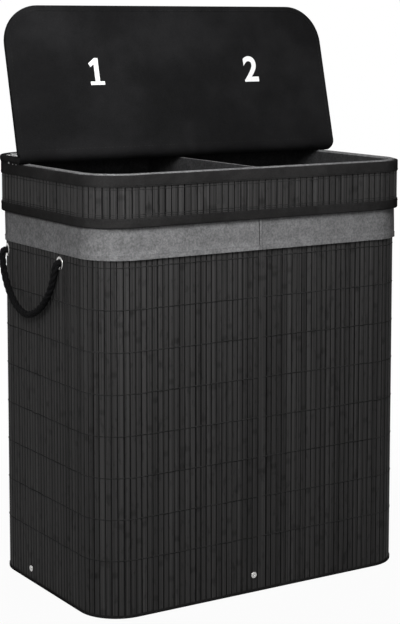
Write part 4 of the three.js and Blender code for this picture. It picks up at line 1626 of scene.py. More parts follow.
def make_handle(side, word):
    """One rope handle, through its two eyelets, with a knot on each end inside the wall."""
    route, length = rope_route(side)
    rope = coat(twisted_rope(word + "_rope", route), "twisted_rope")
    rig.slot(rope, "black_rope")
    start = (side * ROPE_BLEND_START, 0, ROPE_HEIGHT)
    end = (side * ROPE_BLEND_END, 0, ROPE_HEIGHT - ELBOW_RADIUS)
    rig.replaces(rope, word + "_rope_handle")
    knots = [make_knot(side, word, place, y) for place, y in EYELETS]
    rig.cord(
        rope,
        exit=wall_spot(side, ROPE_FRONT_Y, ROPE_HEIGHT)[0],
        length=length,
        diameter=sizes().rope_diameter,
        far_end="object",
        stiffness="limp",
        lay="hanging",
        path=route,
        with_pieces=knots,
    )
    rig.blend(rope, "hamper_body", word + "_handle", start, end)


def make_knot(side, word, place, eyelet_y):
    """An overhand knot pulled tight against the inside of an eyelet."""
    node = "_".join(("rope_knot", word, place))
    low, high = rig.box(node)
    middle = (low + high) / 2
    outward = wall_spot(side, eyelet_y, ROPE_HEIGHT)[1]
    across = UP.cross(outward)
    points = []
    for k in range(KNOT_STEPS):
        t = 2 * math.pi * k / KNOT_STEPS
        x, y, z = math.sin(t) + 2 * math.sin(2 * t), math.cos(t) - 2 * math.cos(2 * t), -math.sin(3 * t)
        points.append(middle + KNOT_SIZE * (x * across + y * UP + KNOT_DEPTH * z * outward))
    knot = smooth(tube(node + "_tied", points, KNOT_RADIUS, KNOT_SIDES, closed=True), CORD_ANGLE)
    edit(knot)
    face_outwards()
    done()
    return dress(knot, "twisted_rope", "hamper_body", "black_rope", [node])


# Wall


def mat_stations():
    """Middles of the slats of both mats, in order round the wall, without the two join strips."""
    half = perimeter(BODY) / 2
    pitch = sizes().slat_pitch
    right = spread_evenly(JOIN_STRIP_HALF_ROOM, half - JOIN_STRIP_HALF_ROOM, pitch)
    left = spread_evenly(half + JOIN_STRIP_HALF_ROOM, 2 * half - JOIN_STRIP_HALF_ROOM, pitch)
    return right, left


def make_wall():
    """Both slat mats, the two join strips and the threads that bind the slats."""
    dice = random.Random(WALL_SEED)
    s = sizes()
    right, left = mat_stations()
    pitch = right[1] - right[0]
    for word, stations in (("right", right), ("left", left)):
        mat = wall_slats(word + "_slats", BODY, stations, pitch - s.slat_gap, WALL_LOW, WALL_TOP, dice)
        dress(mat, "stained_bamboo", "hamper_body", "stained_bamboo", [word + "_slat_mat"])
    for word, station in (("front", 0.0), ("rear", perimeter(BODY) / 2)):
        strip = wall_slats(word + "_strip", BODY, [station], JOIN_STRIP_WIDTH, WALL_LOW, WALL_TOP, dice)
        dress(strip, "stained_bamboo", "hamper_body", "stained_bamboo", [word + "_join_strip"])
    heights = [LOWEST_THREAD + k * s.thread_spacing for k in range(WALL_THREAD_COUNT)]
    threads = wall_threads("wall_threads", BODY, right + left, pitch, heights, s.thread_radius, dice)
    dress(threads, "binding_thread", "hamper_body", "black_cloth")


def make_wall_cloth():
    """The backing behind the slats, the hem over its top and the binding that the wall stands on."""
    backing = smooth(plain_band("backing_cloth", BODY, BACKING_OUT, WALL_LOW, WALL_TOP, THIN_CLOTH))
    dress(backing, "lining_cloth", "hamper_body", "black_cloth", ["wall_backing"])
    tapes = []
    for name, out, edge, fold, thickness, rounding, node in WALL_TAPES:
        tape = folded_band(name, BODY, out, edge, fold, out - HEM_INNER_OUT, edge, rounding)
        smooth(thicken(tape, thickness))
        tapes.append(dress(tape, "binding_cloth", "hamper_body", "black_tape", [node]))
    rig.sheet(
        backing,
        flat=(perimeter(grow(BODY, BACKING_OUT)), WALL_TOP - WALL_LOW),
        held="stretched",
        rests_on=["left_slats", "right_slats"],
        with_pieces=tapes,
    )


def make_eyelets():
    """Nickel eyelets: a rolled flange on each side of the wall and a barrel between them."""
    for word, side in SIDES:
        for place, y in EYELETS:
            spot, outward = wall_spot(side, y, ROPE_HEIGHT)
            turn = outward.to_track_quat("Z", "Y").to_euler()
            places = [spot + out * outward for out in FLANGE_OUTS]
            parts = [flat_ring(flange, turn, FLANGE_RADIUS, FLANGE_STEPS) for flange in places]
            middle = spot + BARREL_OUT * outward
            barrel = cylinder(middle, turn, BARREL_RADIUS, BARREL_LENGTH, FLANGE_STEPS, ends="NOTHING")
            parts.append(thicken(barrel, BARREL_THICKNESS))
            node = "_".join(("eyelet", word, place))
            eyelet = smooth(join(parts, node + "_ring"), SOFT_ANGLE)
            dress(eyelet, "nickel", "hamper_body", "nickel", [node])


def make_rivet(word, outward):
    """A rivet through the wall into its bracket: a dished head, a shank and a flat tail."""
    low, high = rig.box("rivet_" + word)
    length = (high - low).dot(Vector(map(abs, outward)))
    face = (low + high) / 2 + length / 2 * outward
    turn = outward.to_track_quat("Z", "Y").to_euler()

    def disc(depth, radius, height, sides):
        """A cylinder whose middle lies at a depth behind the head's outer face."""
        return cylinder(face - depth * outward, turn, radius, height, sides)

    parts = [
        flat_ring(face - HEAD_RING_DEPTH * outward, turn, HEAD_RING_RADIUS, HEAD_RING_STEPS),
        softened(disc(HEAD_DEPTH, HEAD_RADIUS, HEAD_HEIGHT, HEAD_STEPS), HEAD_ROUND),
        disc(length / 2 + SHANK_DEEPER, SHANK_RADIUS, length - SHANK_SHORTER, SHANK_STEPS),
        softened(disc(length - TAIL_HEIGHT / 2, TAIL_RADIUS, TAIL_HEIGHT, TAIL_STEPS), TAIL_ROUND),
    ]
    rivet = smooth(join(parts, "rivet_" + word + "_head"))
    dress(rivet, "nickel", "hamper_body", "nickel", ["rivet_" + word])


def dress_base():
    """Better finishes on the base board, the brackets and the frame wires."""
    repaint(["base_board"], "pressed_board")
    brackets = ["base_bracket_" + word for word, _ in FACES]
    repaint(brackets + ["top_frame_wire", "bottom_frame_wire"], "steel")


# Liner


def cuff_ripple(point):
    """How far the cuff stands off its plain shape: slack towards its lower edge, tight near the sides."""
    if point.z > COLLAR_LOW:
        return Vector()
    loose = min(1.0, (COLLAR_LOW - point.z) / (COLLAR_LOW - CUFF_LOW))
    tight = min(1.0, max(0.0, (abs(point.x) - TIGHT_FROM) / TIGHT_RUN))
    crease = max(0.0, noise.noise(point * CUFF_CREASE_SCALE + CUFF_CREASE_SHIFT))
    slack = CUFF_SLACK * loose * chance(point * CUFF_SLACK_SCALE)
    slack += CUFF_CREASE * crease * min(1.0, 3 * loose)
    hem = HEM_THICKER if point.z < CUFF_HEM_TOP else 0
    tuck = TUCK_OUT * loose if point.y < 0 and abs(point.x - TUCK_X) < TUCK_HALF else 0
    out = slack * (1 - TIGHT_SHARE * tight) - TIGHT_IN * tight * loose + hem + tuck
    return out * plan_outward(BODY, point)


def make_cuff():
    """The liner's cuff, folded over the rim, with a hemmed lower edge, seams and slight ripples."""
    across = CUFF_OUT - CUFF_INNER_OUT
    piece = folded_band(
        "cuff_cloth", BODY, CUFF_OUT, CUFF_LOW, FOLD_TOP, across, CUFF_INNER_LOW, CUFF_FOLD_ROUND
    )
    cut_level(piece, CUFF_CUTS)
    nudge(piece, cuff_ripple)
    smooth(thicken(piece, LINER_THICKNESS), SOFT_ANGLE)
    dress(piece, "grey_liner_cloth", "liner", "grey_cloth", ["liner_cuff"])
    stitches = nudge(hoop_stitch("cuff_hem_stitches", BODY, CUFF_OUT, CUFF_HEM), cuff_ripple)
    seams = [dress(stitches, "grey_liner_cloth", "liner", "grey_cloth")]
    for word, station in (("front", -CUFF_SEAM_ASIDE), ("rear", perimeter(BODY) / 2 + CUFF_SEAM_ASIDE)):
        seams += make_cuff_seam("cuff_seam_" + word, station)
    legs = (FOLD_TOP - CUFF_LOW) + across + (FOLD_TOP - CUFF_INNER_LOW)
    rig.sheet(
        piece,
        flat=(perimeter(grow(BODY, CUFF_OUT)), legs),
        held="folded",
        rests_on=["hem_tape"],
        with_pieces=seams,
    )


def lay_seam(point):
    """Waves a cuff seam, and presses it flat where the collar lies over it."""
    wave = CUFF_SEAM_WAVE * noise.noise(Vector((0, 0.5, point.z * CUFF_SEAM_SCALE)))
    under_collar = point.z > CUFF_SEAM_PRESSED_FROM and point.y < -CUFF_SEAM_PRESSED
    return Vector((wave, -CUFF_SEAM_PRESSED - point.y if under_collar else 0, 0))


def make_cuff_seam(name, station):
    """A sewn upright seam: two cloth edges pressed to one side, and the line of thread beside them."""
    made = []
    for part in CUFF_SEAM_PARTS:
        low = (part.left, -part.proud, CUFF_LOW)
        piece = block(name + part.ending, low, (part.right, part.sunk, CUFF_SEAM_TOP))
        edit(piece)
        pick(piece, "EDGE", upright)
        bpy.ops.mesh.subdivide(number_cuts=CUFF_SEAM_CUTS)
        done()
        nudge(piece, lay_seam)
        piece.data.transform(standing_at(grow(BODY, CUFF_OUT), station, 0, 0))
        made.append(dress(smooth(softened(piece, part.rounding)), part.finish, "liner", "grey_cloth"))
    return made


def bag_ring(side, side_in, face_in, height, fold):
    """One level ring of a bag, with its folds drawn inwards."""
    width = BODY.right - side_in - BAG_GAP
    depth = BODY.rear - face_in
    corner = max(BAG_LEAST_CORNER, BODY.rear_radius - max(side_in, face_in))
    plan = Plan(-depth, depth, 0, width, corner, BAG_MIDDLE_CORNER)
    ring = []
    for k in range(BAG_COLUMNS):
        spot, heading = walk(plan, perimeter(plan) * k / BAG_COLUMNS)
        place = Vector((*spot, height))
        broad = place * BAG_FOLD_SCALE + side * BAG_FOLD_SHIFT
        lift = chance(broad) + BAG_FINER_SHARE * noise.noise(broad * BAG_FINER)
        sharp = place * BAG_CREASE_SCALE - side * BAG_CREASE_SHIFT + spot.x * BAG_CREASE_SLANT
        crease = (1 - abs(noise.noise(sharp))) ** BAG_CREASE_POWER
        drawn_in = fold * (BAG_FOLD_SHARE * max(lift, 0) + (1 - BAG_FOLD_SHARE) * crease)
        spot = spot - drawn_in * facing(heading)
        ring.append(Vector((side * (width + BAG_GAP - spot.y), spot.x, height)))
    return ring


def bag_rings(side):
    """All level rings of a bag: its bottom, the round lower edge, the hanging wall and the wider top."""
    deep = sizes().bag_fold
    rings = []
    for share in BAG_FLOOR_SHARES:
        side_in = BAG_SIDE_IN + BAG_ROUND + BAG_FLOOR_SIDE_RUN * share
        face_in = BAG_FACE_IN + BAG_ROUND + BAG_FLOOR_FACE_RUN * share
        rings.append(bag_ring(side, side_in, face_in, BAG_FLOOR, 0))
    for k in range(BAG_ROUND_STEPS + 1):
        share = k / BAG_ROUND_STEPS
        drawn = BAG_ROUND * (1 - math.sin(math.pi / 2 * share))
        height = BAG_FLOOR + BAG_ROUND * (1 - math.cos(math.pi / 2 * share))
        fold = deep * BAG_LOW_FOLD * share
        rings.append(bag_ring(side, BAG_SIDE_IN + drawn, BAG_FACE_IN + drawn, height, fold))
    for k in range(1, BAG_ROWS + 1):
        height = BAG_FLOOR + BAG_ROUND + k * BAG_ROW
        fold = deep * min(1, BAG_LOW_FOLD + k / BAG_FOLD_ROWS)
        rings.append(bag_ring(side, BAG_SIDE_IN, BAG_FACE_IN, height, fold))
    for k in range(1, BAG_TOP_ROWS + 1):
        share = k / BAG_TOP_ROWS
        spread = min(1, share * BAG_SPREAD_RATE)
        side_in = BAG_SIDE_IN + (BAG_TOP_IN - BAG_SIDE_IN) * spread
        face_in = BAG_FACE_IN + (BAG_TOP_IN - BAG_FACE_IN) * spread
        height = BAG_WIDENS + share * (BAG_TOP - BAG_WIDENS)
        rings.append(bag_ring(side, side_in, face_in, height, deep * (1 - share) ** BAG_FLATTENING))
    return rings


def make_bag(side, word):
    """A bag that hangs from the rim, with soft folds, and lies on the base board."""
    rings = bag_rings(side)
    count = BAG_COLUMNS
    faces = []
    for low in range(0, (len(rings) - 1) * count, count):
        for n in range(count):
            m = (n + 1) % count
            faces.append((low + n, low + m, low + count + m, low + count + n))
    faces.append(tuple(reversed(range(count))))
    piece = from_faces(word + "_bag_cloth", [v for ring in rings for v in ring], faces)
    edit(piece)
    pick(piece, "FACE", lambda f: len(f.verts) > 4)
    bpy.ops.mesh.poke()
    face_outwards()
    done()
    smooth(thicken(piece, LINER_THICKNESS, even=False), CORD_ANGLE)
    # Painted shade: the bag is the grey liner cloth, coloured dark for the shade inside the bins
    dress(piece, "dark_bag_cloth", "liner", "grey_cloth", [word + "_bag"])
    width, depth = BODY.right - BAG_SIDE_IN, 2 * (BODY.rear - BAG_FACE_IN)
    tall = BAG_TOP - BAG_FLOOR
    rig.sheet(
        piece,
        flat=(2 * (width + depth), tall + width / 2),
        area=2 * (width + depth) * tall + width * depth,
        held="hung",
        rests_on=["cuff_cloth", "base_board"],
    )


def make_divider():
    """The binding over the top of the two bags' middle walls, dark as painted shade, with a pale edge of the liner's
    own grey along its lit top.
    """
    low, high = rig.box("divider_binding")
    piece = block("divider_cloth", low, high)
    edit(piece)
    pick(piece, "FACE", level_at(low.z))
    bpy.ops.mesh.delete(type="ONLY_FACE")
    pick(piece, "EDGE", lambda e: level_at(high.z)(e) and long_run(e, LONG_RUNS[-1]))
    round_edges(DIVIDER_ROUND, steps=4)
    pick(piece, "EDGE", lambda e: long_run(e, LONG_RUNS[-1]))
    bpy.ops.mesh.subdivide(number_cuts=DIVIDER_CUTS)
    done()
    smooth(thicken(piece, LINER_THICKNESS), SOFT_ANGLE)
    # Painted shade: the divider's sides are the grey liner in shade, coloured dark
    dress(piece, "dark_bag_cloth", "liner", "grey_cloth", ["divider_binding"])
    # The liner's own grey, kept only on the top where light falls, beside the painted shade of the sides
    edge_low = (low.x + DIVIDER_EDGE_INSET, low.y, high.z - DIVIDER_EDGE_SUNK)
    edge_high = (high.x - DIVIDER_EDGE_INSET, high.y, high.z + DIVIDER_EDGE_HIGH)
    edge = softened(block("divider_edge", edge_low, edge_high), DIVIDER_EDGE_ROUND)
    dress(smooth(edge, SOFT_ANGLE), "grey_liner_cloth", "liner", "grey_cloth")
    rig.sheet(
        piece,
        flat=(2 * (high.z - low.z) + high.x - low.x, high.y - low.y),
        held="folded",
        rests_on=["left_bag_cloth", "right_bag_cloth"],
        with_pieces=[edge],
    )


# Cap


def make_collar():
    """The cap's collar: short upright slats on a cloth backing, bound along both edges."""
    dice = random.Random(COLLAR_SEED)
    s = sizes()
    low, top = COLLAR_SLATS_LOW, COLLAR_SLATS_TOP
    plan = grow(BODY, COLLAR_SLATS_OUT)
    stations = spread_evenly(0, perimeter(plan), s.collar_pitch)
    pitch = stations[1] - stations[0]
    slats = wall_slats("collar_slat_row", plan, stations, pitch - s.slat_gap, low, top, dice)
    dress(slats, "stained_bamboo", "cap", "stained_bamboo", ["collar_slats"])
    radius = COLLAR_THREAD_SHARE * s.thread_radius
    threads = wall_threads("collar_threads", plan, stations, pitch, COLLAR_THREADS, radius, dice)
    dress(threads, "binding_thread", "cap", "black_cloth")
    backing = smooth(plain_band("collar_cloth", BODY, COLLAR_BACKING_OUT, low, top, TAPE_THICKNESS))
    dress(backing, "lining_cloth", "cap", "black_cloth", ["collar_backing"])
    sewn_on = []
    for word, edge, fold, stitch in COLLAR_TAPES:
        name = "collar_" + word
        across = COLLAR_OUT - CAP_INNER_OUT
        band = folded_band(name + "_tape", BODY, COLLAR_OUT, edge, fold, across, edge, COLLAR_ROUND)
        smooth(thicken(puckered(band), TAPE_THICKNESS), SOFT_ANGLE)
        dress(band, "binding_cloth", "cap", "black_tape", [name + "_binding"])
        stitches = hoop_stitch(name + "_stitches", BODY, COLLAR_STITCH_OUT, stitch)
        dress(stitches, "binding_thread", "cap", "black_cloth")
        sewn_on += [band, stitches]
    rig.sheet(
        backing,
        flat=(perimeter(plan), top - low),
        held="stretched",
        rests_on=["collar_slat_row"],
        with_pieces=sewn_on,
    )


def flat_slats(name, plan, dice):
    """Slats laid front to back over a flat panel, cut to its outline, on its upper face."""
    s = sizes()
    shrunk = grow(plan, -FLAT_SLATS_INSET)
    stations = spread_evenly(shrunk.left, shrunk.right, s.slat_pitch)
    pitch = stations[1] - stations[0]
    top = FLAP_SLATS_LOW + s.slat_thickness
    model = slat_model(name, pitch - s.slat_gap, s.slat_thickness)
    lay_down = Matrix(((1, 0, 0, 0), (0, 0, 1, 0), (0, -1, 0, 0), (0, 0, 0, 1)))
    made = []
    for x in stations:
        piece = copy_slat(model, shrunk.rear - shrunk.front, dice, lay_down)
        piece.data.transform(Matrix.Translation((x, shrunk.front, top - dice.uniform(0, SLAT_SUNK))))
        for vertex in piece.data.vertices:
            at_rear = vertex.co.y > (plan.front + plan.rear) / 2
            vertex.co.y = outline_y(shrunk, vertex.co.x, at_rear)
        made.append(piece)
    bpy.data.objects.remove(model)
    return smooth(join(made, name), SLAT_ANGLE), stations, pitch


def flat_threads(name, plan, stations, pitch, dice):
    """Threads across a flat panel's slats."""
    s = sizes()
    top = FLAP_SLATS_LOW + s.slat_thickness - THREAD_SUNK * s.thread_radius
    over = pitch / 2 - THREAD_TURN
    made = []
    first, last = plan.front + FLAT_THREAD_INSET, plan.rear - FLAT_THREAD_INSET
    for y in spread_evenly(first, last, s.thread_spacing):
        points = []
        for x in stations:
            if outline_y(plan, x, False) > y or outline_y(plan, x, True) < y:
                continue
            swayed = y + dice.uniform(-FLAT_THREAD_SWAY, FLAT_THREAD_SWAY)
            points.append(Vector((x - over, swayed, top)))
            points.append(Vector((x + over, swayed, top)))
            points.append(Vector((x + pitch / 2, swayed, top - THREAD_DIP)))
        made.append(thread_line(name, points, s.thread_radius, False))
    return smooth(join(made, name), CORD_ANGLE)


def flat_pucker(point):
    """How far a flat panel's binding sinks at a point, where its stitches pull it in."""
    sunk = TAPE_PUCKER * chance(point * TAPE_PUCKER_SCALE)
    return Vector((0, 0, -math.copysign(sunk, point.z - (FLAP_LOW + FLAP_TOP) / 2)))


def edge_tape(name, plan):
    """The binding round a flat panel's edge, from its upper face over to its lower one."""
    piece = plan_block(name, plan, FLAP_LOW, FLAP_TOP)
    edit(piece)
    pick(piece, "EDGE", lambda e: near(e.verts[0].co.z, e.verts[1].co.z) and e.calc_face_angle(0) > 1)
    round_edges(TAPE_ROUND, steps=5)
    tight = min(plan.front_radius, plan.rear_radius) - TAPE_ROUND
    pick(piece, "FACE", lambda f: abs(f.normal.z) > LEVEL_FACE)
    bpy.ops.mesh.inset(thickness=tight * TAPE_CORNER_SHARE, depth=0)
    bpy.ops.mesh.remove_doubles(threshold=TAPE_WELD)
    bpy.ops.mesh.inset(thickness=TAPE_WIDTH - TAPE_ROUND - tight, depth=0)
    bpy.ops.mesh.delete(type="ONLY_FACE")
    done()
    split_runs(piece)
    nudge(piece, flat_pucker)
    return smooth(thicken(piece, TAPE_THICKNESS), SOFT_ANGLE)


def cloth_panel(name, plan, height, bulge):
    """A cloth over a flat panel's lower face, cut a little inside its outline and slightly uneven."""
    plan = grow(plan, -FLAT_CLOTH_INSET)
    wide, deep = plan.right - plan.left, plan.rear - plan.front
    piece = added(
        bpy.ops.mesh.primitive_grid_add,
        (wide, deep, 1),
        x_subdivisions=FLAT_CLOTH_CELLS,
        y_subdivisions=round(FLAT_CLOTH_CELLS * deep / wide),
        size=1,
        location=((plan.left + plan.right) / 2, (plan.front + plan.rear) / 2, height),
    )
    named(piece, name)
    for vertex in piece.data.vertices:
        low, high = (outline_y(plan, vertex.co.x, at_rear) for at_rear in (False, True))
        share = (vertex.co.y - plan.front) / deep
        vertex.co.y = low + share * (high - low)
        lift = bulge * chance(Vector((vertex.co.x, vertex.co.y, 1)) * FLAT_CLOTH_SCALE)
        vertex.co.z -= lift * min(1, share / FLAT_CLOTH_FADE, (1 - share) / FLAT_CLOTH_FADE)
    piece.data.update()
    piece.data.flip_normals()
    return smooth(thicken(piece, THIN_CLOTH), SOFT_ANGLE)


def make_panel_seam(side, word):
    """The seam between one side of the panel and the collar, with pale tack stitches at its front end."""
    line = grow(PANEL, -PANEL_SEAM_INSET)
    height = (RIM + FLAP_LOW) / 2
    start = line.right + PANEL_SEAM_START
    straight = line.rear - line.front - line.rear_radius - PANEL_SEAM_START
    end = start + straight + math.pi / 2 * line.rear_radius + PANEL_SEAM_PAST_CORNER
    stations = [start + (end - start) * k / PANEL_SEAM_STEPS for k in range(PANEL_SEAM_STEPS + 1)]
    points = [at_station(line, side * station, 0, height) for station in stations]
    seam = smooth(tube("panel_seam_" + word, points, PANEL_SEAM_RADIUS, PANEL_SEAM_SIDES), CORD_ANGLE)
    edit(seam)
    face_outwards()
    done()
    dress(seam, "binding_cloth", "cap", "black_tape")
    tacks = []
    for y, radius, lift in TACKS:
        place = (side * (BODY.right + COLLAR_OUT), y, height + lift)
        tack = added(
            bpy.ops.mesh.primitive_uv_sphere_add,
            TACK_SHAPE,
            location=place,
            radius=radius,
            segments=TACK_SIDES,
            ring_count=TACK_RINGS,
        )
        tacks.append(tack)
    tacked = smooth(join(tacks, "tack_stitches_" + word), CORD_ANGLE)
    dress(tacked, "pale_thread", "cap", "grey_cloth")


def make_welt():
    """The flattened piping that sews the fixed panel to the collar's rear."""
    low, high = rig.box("panel_seam_welt")
    middle = (low + high) / 2
    welt = cylinder(middle, (0, math.pi / 2, 0), WELT_RADIUS, high.x - low.x, WELT_SIDES)
    softened(named(welt, "welt_piping"), WELT_ROUND)
    nudge(welt, lambda point: Vector((0, 0, (middle.z - point.z) * WELT_FLATTENED)))
    dress(smooth(welt), "binding_cloth", "cap", "black_tape", ["panel_seam_welt"])


def make_panel():
    """The fixed panel over the cap's rear third: lining, slats, binding and the seams that hold it."""
    dice = random.Random(PANEL_SEED)
    slats, stations, pitch = flat_slats("panel_slat_row", PANEL, dice)
    dress(slats, "stained_bamboo", "cap", "stained_bamboo", ["rear_panel_slats"])
    threads = flat_threads("panel_threads", PANEL, stations, pitch, dice)
    dress(threads, "binding_thread", "cap", "black_cloth")
    tape = edge_tape("panel_tape", PANEL)
    dress(tape, "binding_cloth", "cap", "black_tape", ["rear_panel_binding"])
    stitches = flat_stitch("panel_stitches", PANEL, TAPE_STITCH_INSET, TAPE_STITCH_TOP, 1)
    dress(stitches, "binding_thread", "cap", "black_cloth")
    cloth = cloth_panel("panel_cloth", PANEL, PANEL_CLOTH_LOW, PANEL_CLOTH_BULGE)
    dress(cloth, "lining_cloth", "cap", "black_cloth", ["rear_panel_lining"])
    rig.sheet(
        cloth,
        flat=(PANEL.right - PANEL.left, PANEL.rear - PANEL.front),
        held="stretched",
        rests_on=["rear_panel_board"],
        with_pieces=[tape, stitches],
    )
    repaint(["rear_panel_board"], "pressed_board")
    make_welt()
    for word, side in SIDES:
        make_panel_seam(side, word)


def make_hinge_roll():
    """The lining's soft roll inside the hinge, from the open lid's edge to under the panel's edge."""
    top = lid_turn() @ Vector((0, LID.rear - ROLL_REACH, ROLL_UNDER))
    bend = lid_turn() @ Vector((0, LID.rear + ROLL_REACH, ROLL_UNDER))
    bottom = Vector((0, PANEL.front + ROLL_TUCKED, ROLL_UNDER))
    along, across = ROLL_CELLS
    piece = added(bpy.ops.mesh.primitive_grid_add, x_subdivisions=along, y_subdivisions=across, size=1)
    named(piece, "hinge_roll")
    for vertex in piece.data.vertices:
        share = vertex.co.y + 0.5
        x = 2 * vertex.co.x * (ROLL_LID_HALF + (ROLL_PANEL_HALF - ROLL_LID_HALF) * share**3)
        spot = top.lerp(bend, share).lerp(bend.lerp(bottom, share), share)
        ripple = 4 * share * (1 - share) * noise.noise(Vector((x * ROLL_SCALE, share, ROLL_NOISE_LEVEL)))
        vertex.co = spot + Vector((x, ROLL_RIPPLE_BACK * ripple, ROLL_RIPPLE_UP * ripple))
    piece.data.update()
    if piece.data.polygons[0].normal.y > 0:
        piece.data.flip_normals()
    smooth(thicken(piece, THIN_CLOTH, even=False), CORD_ANGLE)
    coat(piece, "lining_cloth")
    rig.slot(piece, "black_cloth")
    middle = (top + 2 * bend + bottom) / 4
    length = (middle - top).length + (bottom - middle).length
    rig.sheet(piece, flat=(2 * ROLL_LID_HALF, length), held="folded", rests_on=["panel_tape", "lid_tape"])
    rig.blend(piece, "cap", "lid", bottom, top)


def hinge_fold(point):
    """How far the flat hinge cloth moves at a point as the lid opens: fully by the lid, not by the panel."""
    share = min(1.0, max(0.0, (HINGE.y + HINGE_BEND_HALF - point.y) / (2 * HINGE_BEND_HALF)))
    return lid_turn(share) @ point - point


def make_hinge():
    """The hinge cloth, sewn along the panel's edge and the lid's, which bends round the hinge line."""
    low = HINGE - Vector((HINGE_HALF_LENGTH, HINGE_REACH, HINGE_BELOW))
    high = HINGE + Vector((HINGE_HALF_LENGTH, HINGE_REACH, HINGE_ABOVE))
    piece = block("hinge_cloth", low, high)
    edit(piece)
    pick(piece, "EDGE", lambda e: not near(e.verts[0].co.y, e.verts[1].co.y))
    bpy.ops.mesh.subdivide(number_cuts=HINGE_CUTS)
    done()
    nudge(piece, hinge_fold)
    smooth(softened(piece, HINGE_ROUND), SOFT_ANGLE)
    coat(piece, "binding_cloth")
    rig.slot(piece, "black_tape")
    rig.replaces(piece, "hinge_tape")
    flat = (2 * HINGE_HALF_LENGTH, 2 * HINGE_REACH)
    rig.sheet(piece, flat=flat, held="folded", rests_on=["panel_tape", "lid_tape"])
    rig.blend(piece, "cap", "lid", HINGE + HINGE_BLEND, HINGE - HINGE_BLEND)


# Lid


def make_lid():
    """The flap lid, made closed and then opened: slats, binding, black lining and its stitches."""
    dice = random.Random(LID_SEED)
    slats, stations, pitch = flat_slats("lid_slat_row", LID, dice)
    dress(open_lid(slats), "stained_bamboo", "lid", "stained_bamboo", ["lid_slats"])
    threads = flat_threads("lid_threads", LID, stations, pitch, dice)
    dress(open_lid(threads), "binding_thread", "lid", "black_cloth")
    tape = open_lid(edge_tape("lid_tape", LID))
    dress(tape, "lining_cloth", "lid", "black_tape", ["lid_binding"])
    rows = []
    for word, height, way in (("outside", TAPE_STITCH_TOP, 1), ("inside", TAPE_STITCH_LOW, -1)):
        row = open_lid(flat_stitch("lid_stitches_" + word, LID, TAPE_STITCH_INSET, height, way))
        rows.append(dress(row, "binding_thread", "lid", "black_cloth"))
    cloth = open_lid(cloth_panel("lid_cloth", LID, LID_CLOTH_LOW, LID_CLOTH_BULGE))
    dress(cloth, "lining_cloth", "lid", "black_cloth", ["lid_lining"])
    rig.sheet(
        cloth,
        flat=(LID.right - LID.left, LID.rear - LID.front),
        held="stretched",
        rests_on=["lid_board"],
        with_pieces=[tape, *rows],
    )
    repaint(["lid_board"], "pressed_board")


def numeral_one():
    """A plain figure 1 with its flag and foot, as a flat curve of height 1."""
    corners = [
        (-0.28, 0), (0.30, 0), (0.30, 0.13), (0.11, 0.13), (0.11, 1), (-0.04, 1),
        (-0.30, 0.80), (-0.22, 0.67), (-0.08, 0.77), (-0.08, 0.13), (-0.28, 0.13),
    ]
    figure = poly_line("figure", [(x, y, 0) for x, y in corners], True, "2D")
    figure.data.fill_mode = "BOTH"
    return figure


def numeral_two():
    """A plain figure 2 in the usual lettering."""
    bpy.ops.object.select_all(action="DESELECT")
    bpy.ops.object.text_add()
    figure = bpy.context.active_object
    figure.data.body = "2"
    figure.data.offset = NUMERAL_BOLDER
    return figure


def make_numerals():
    """A plain white numeral over each bin, printed on the lining."""
    face_down = Matrix(((1, 0, 0, 0), (0, -1, 0, 0), (0, 0, -1, 0), (0, 0, 0, 1)))
    for word, figure, x in (("1", numeral_one(), -NUMERAL_X), ("2", numeral_two(), NUMERAL_X)):
        figure.data.extrude = NUMERAL_EXTRUDE
        piece = as_mesh(figure, "numeral_" + word)
        corners = [v.co for v in piece.data.vertices]
        low = Vector(min(c[k] for c in corners) for k in range(3))
        high = Vector(max(c[k] for c in corners) for k in range(3))
        scale = sizes().numeral_height / (high.y - low.y)
        centred = Matrix.Translation(-(low + high) / 2)
        scaled = Matrix.Diagonal((scale, scale, NUMERAL_DEPTH_SCALE, 1))
        place = Matrix.Translation((x, HINGE.y - NUMERAL_FROM_HINGE, PRINT_MIDDLE))
        piece.data.transform(place @ face_down @ scaled @ centred)
        dress(open_lid(piece), "white_print", "lid", "black_cloth")


# Operators


def make_stage():
    """Camera, floor, surroundings and lamps."""
    add_camera()
    add_floor()
    add_world()
    for lamp in LAMPS:
        add_lamp(*lamp)
    bpy.context.scene.view_settings.view_transform = "Standard"


class HAMPER_OT_stage(bpy.types.Operator):
    """Camera, floor and light"""

    bl_idname = "hamper.stage"
    bl_label = "Stage"

    def execute(self, context):
        make_stage()
        return {"FINISHED"}


class HAMPER_OT_handles(bpy.types.Operator):
    """Two twisted rope handles with their knots"""

    bl_idname = "hamper.handles"
    bl_label = "Rope handles"

    def execute(self, context):
        for word, side in SIDES:
            make_handle(side, word)
        return {"FINISHED"}


class HAMPER_OT_wall(bpy.types.Operator):
    """Slat mats, join strips and binding threads"""

    bl_idname = "hamper.wall"
    bl_label = "Slat wall"

    def execute(self, context):
        make_wall()
        return {"FINISHED"}


class HAMPER_OT_wall_cloth(bpy.types.Operator):
    """Backing, top hem and foot binding"""

    bl_idname = "hamper.wall_cloth"
    bl_label = "Wall cloth"

    def execute(self, context):
        make_wall_cloth()
        return {"FINISHED"}


class HAMPER_OT_eyelets(bpy.types.Operator):
    """Nickel eyelets round the rope ends"""

    bl_idname = "hamper.eyelets"
    bl_label = "Eyelets"

    def execute(self, context):
        make_eyelets()
        return {"FINISHED"}


class HAMPER_OT_rivets(bpy.types.Operator):
    """Dished rivets of the base brackets"""

    bl_idname = "hamper.rivets"
    bl_label = "Rivets"

    def execute(self, context):
        for word, outward in FACES:
            make_rivet(word, outward)
        return {"FINISHED"}


class HAMPER_OT_base(bpy.types.Operator):
    """Finishes of the base board, brackets and wires"""

    bl_idname = "hamper.base"
    bl_label = "Base"

    def execute(self, context):
        dress_base()
        return {"FINISHED"}


class HAMPER_OT_cuff(bpy.types.Operator):
    """Grey cuff folded over the rim"""

    bl_idname = "hamper.cuff"
    bl_label = "Liner cuff"

    def execute(self, context):
        make_cuff()
        return {"FINISHED"}


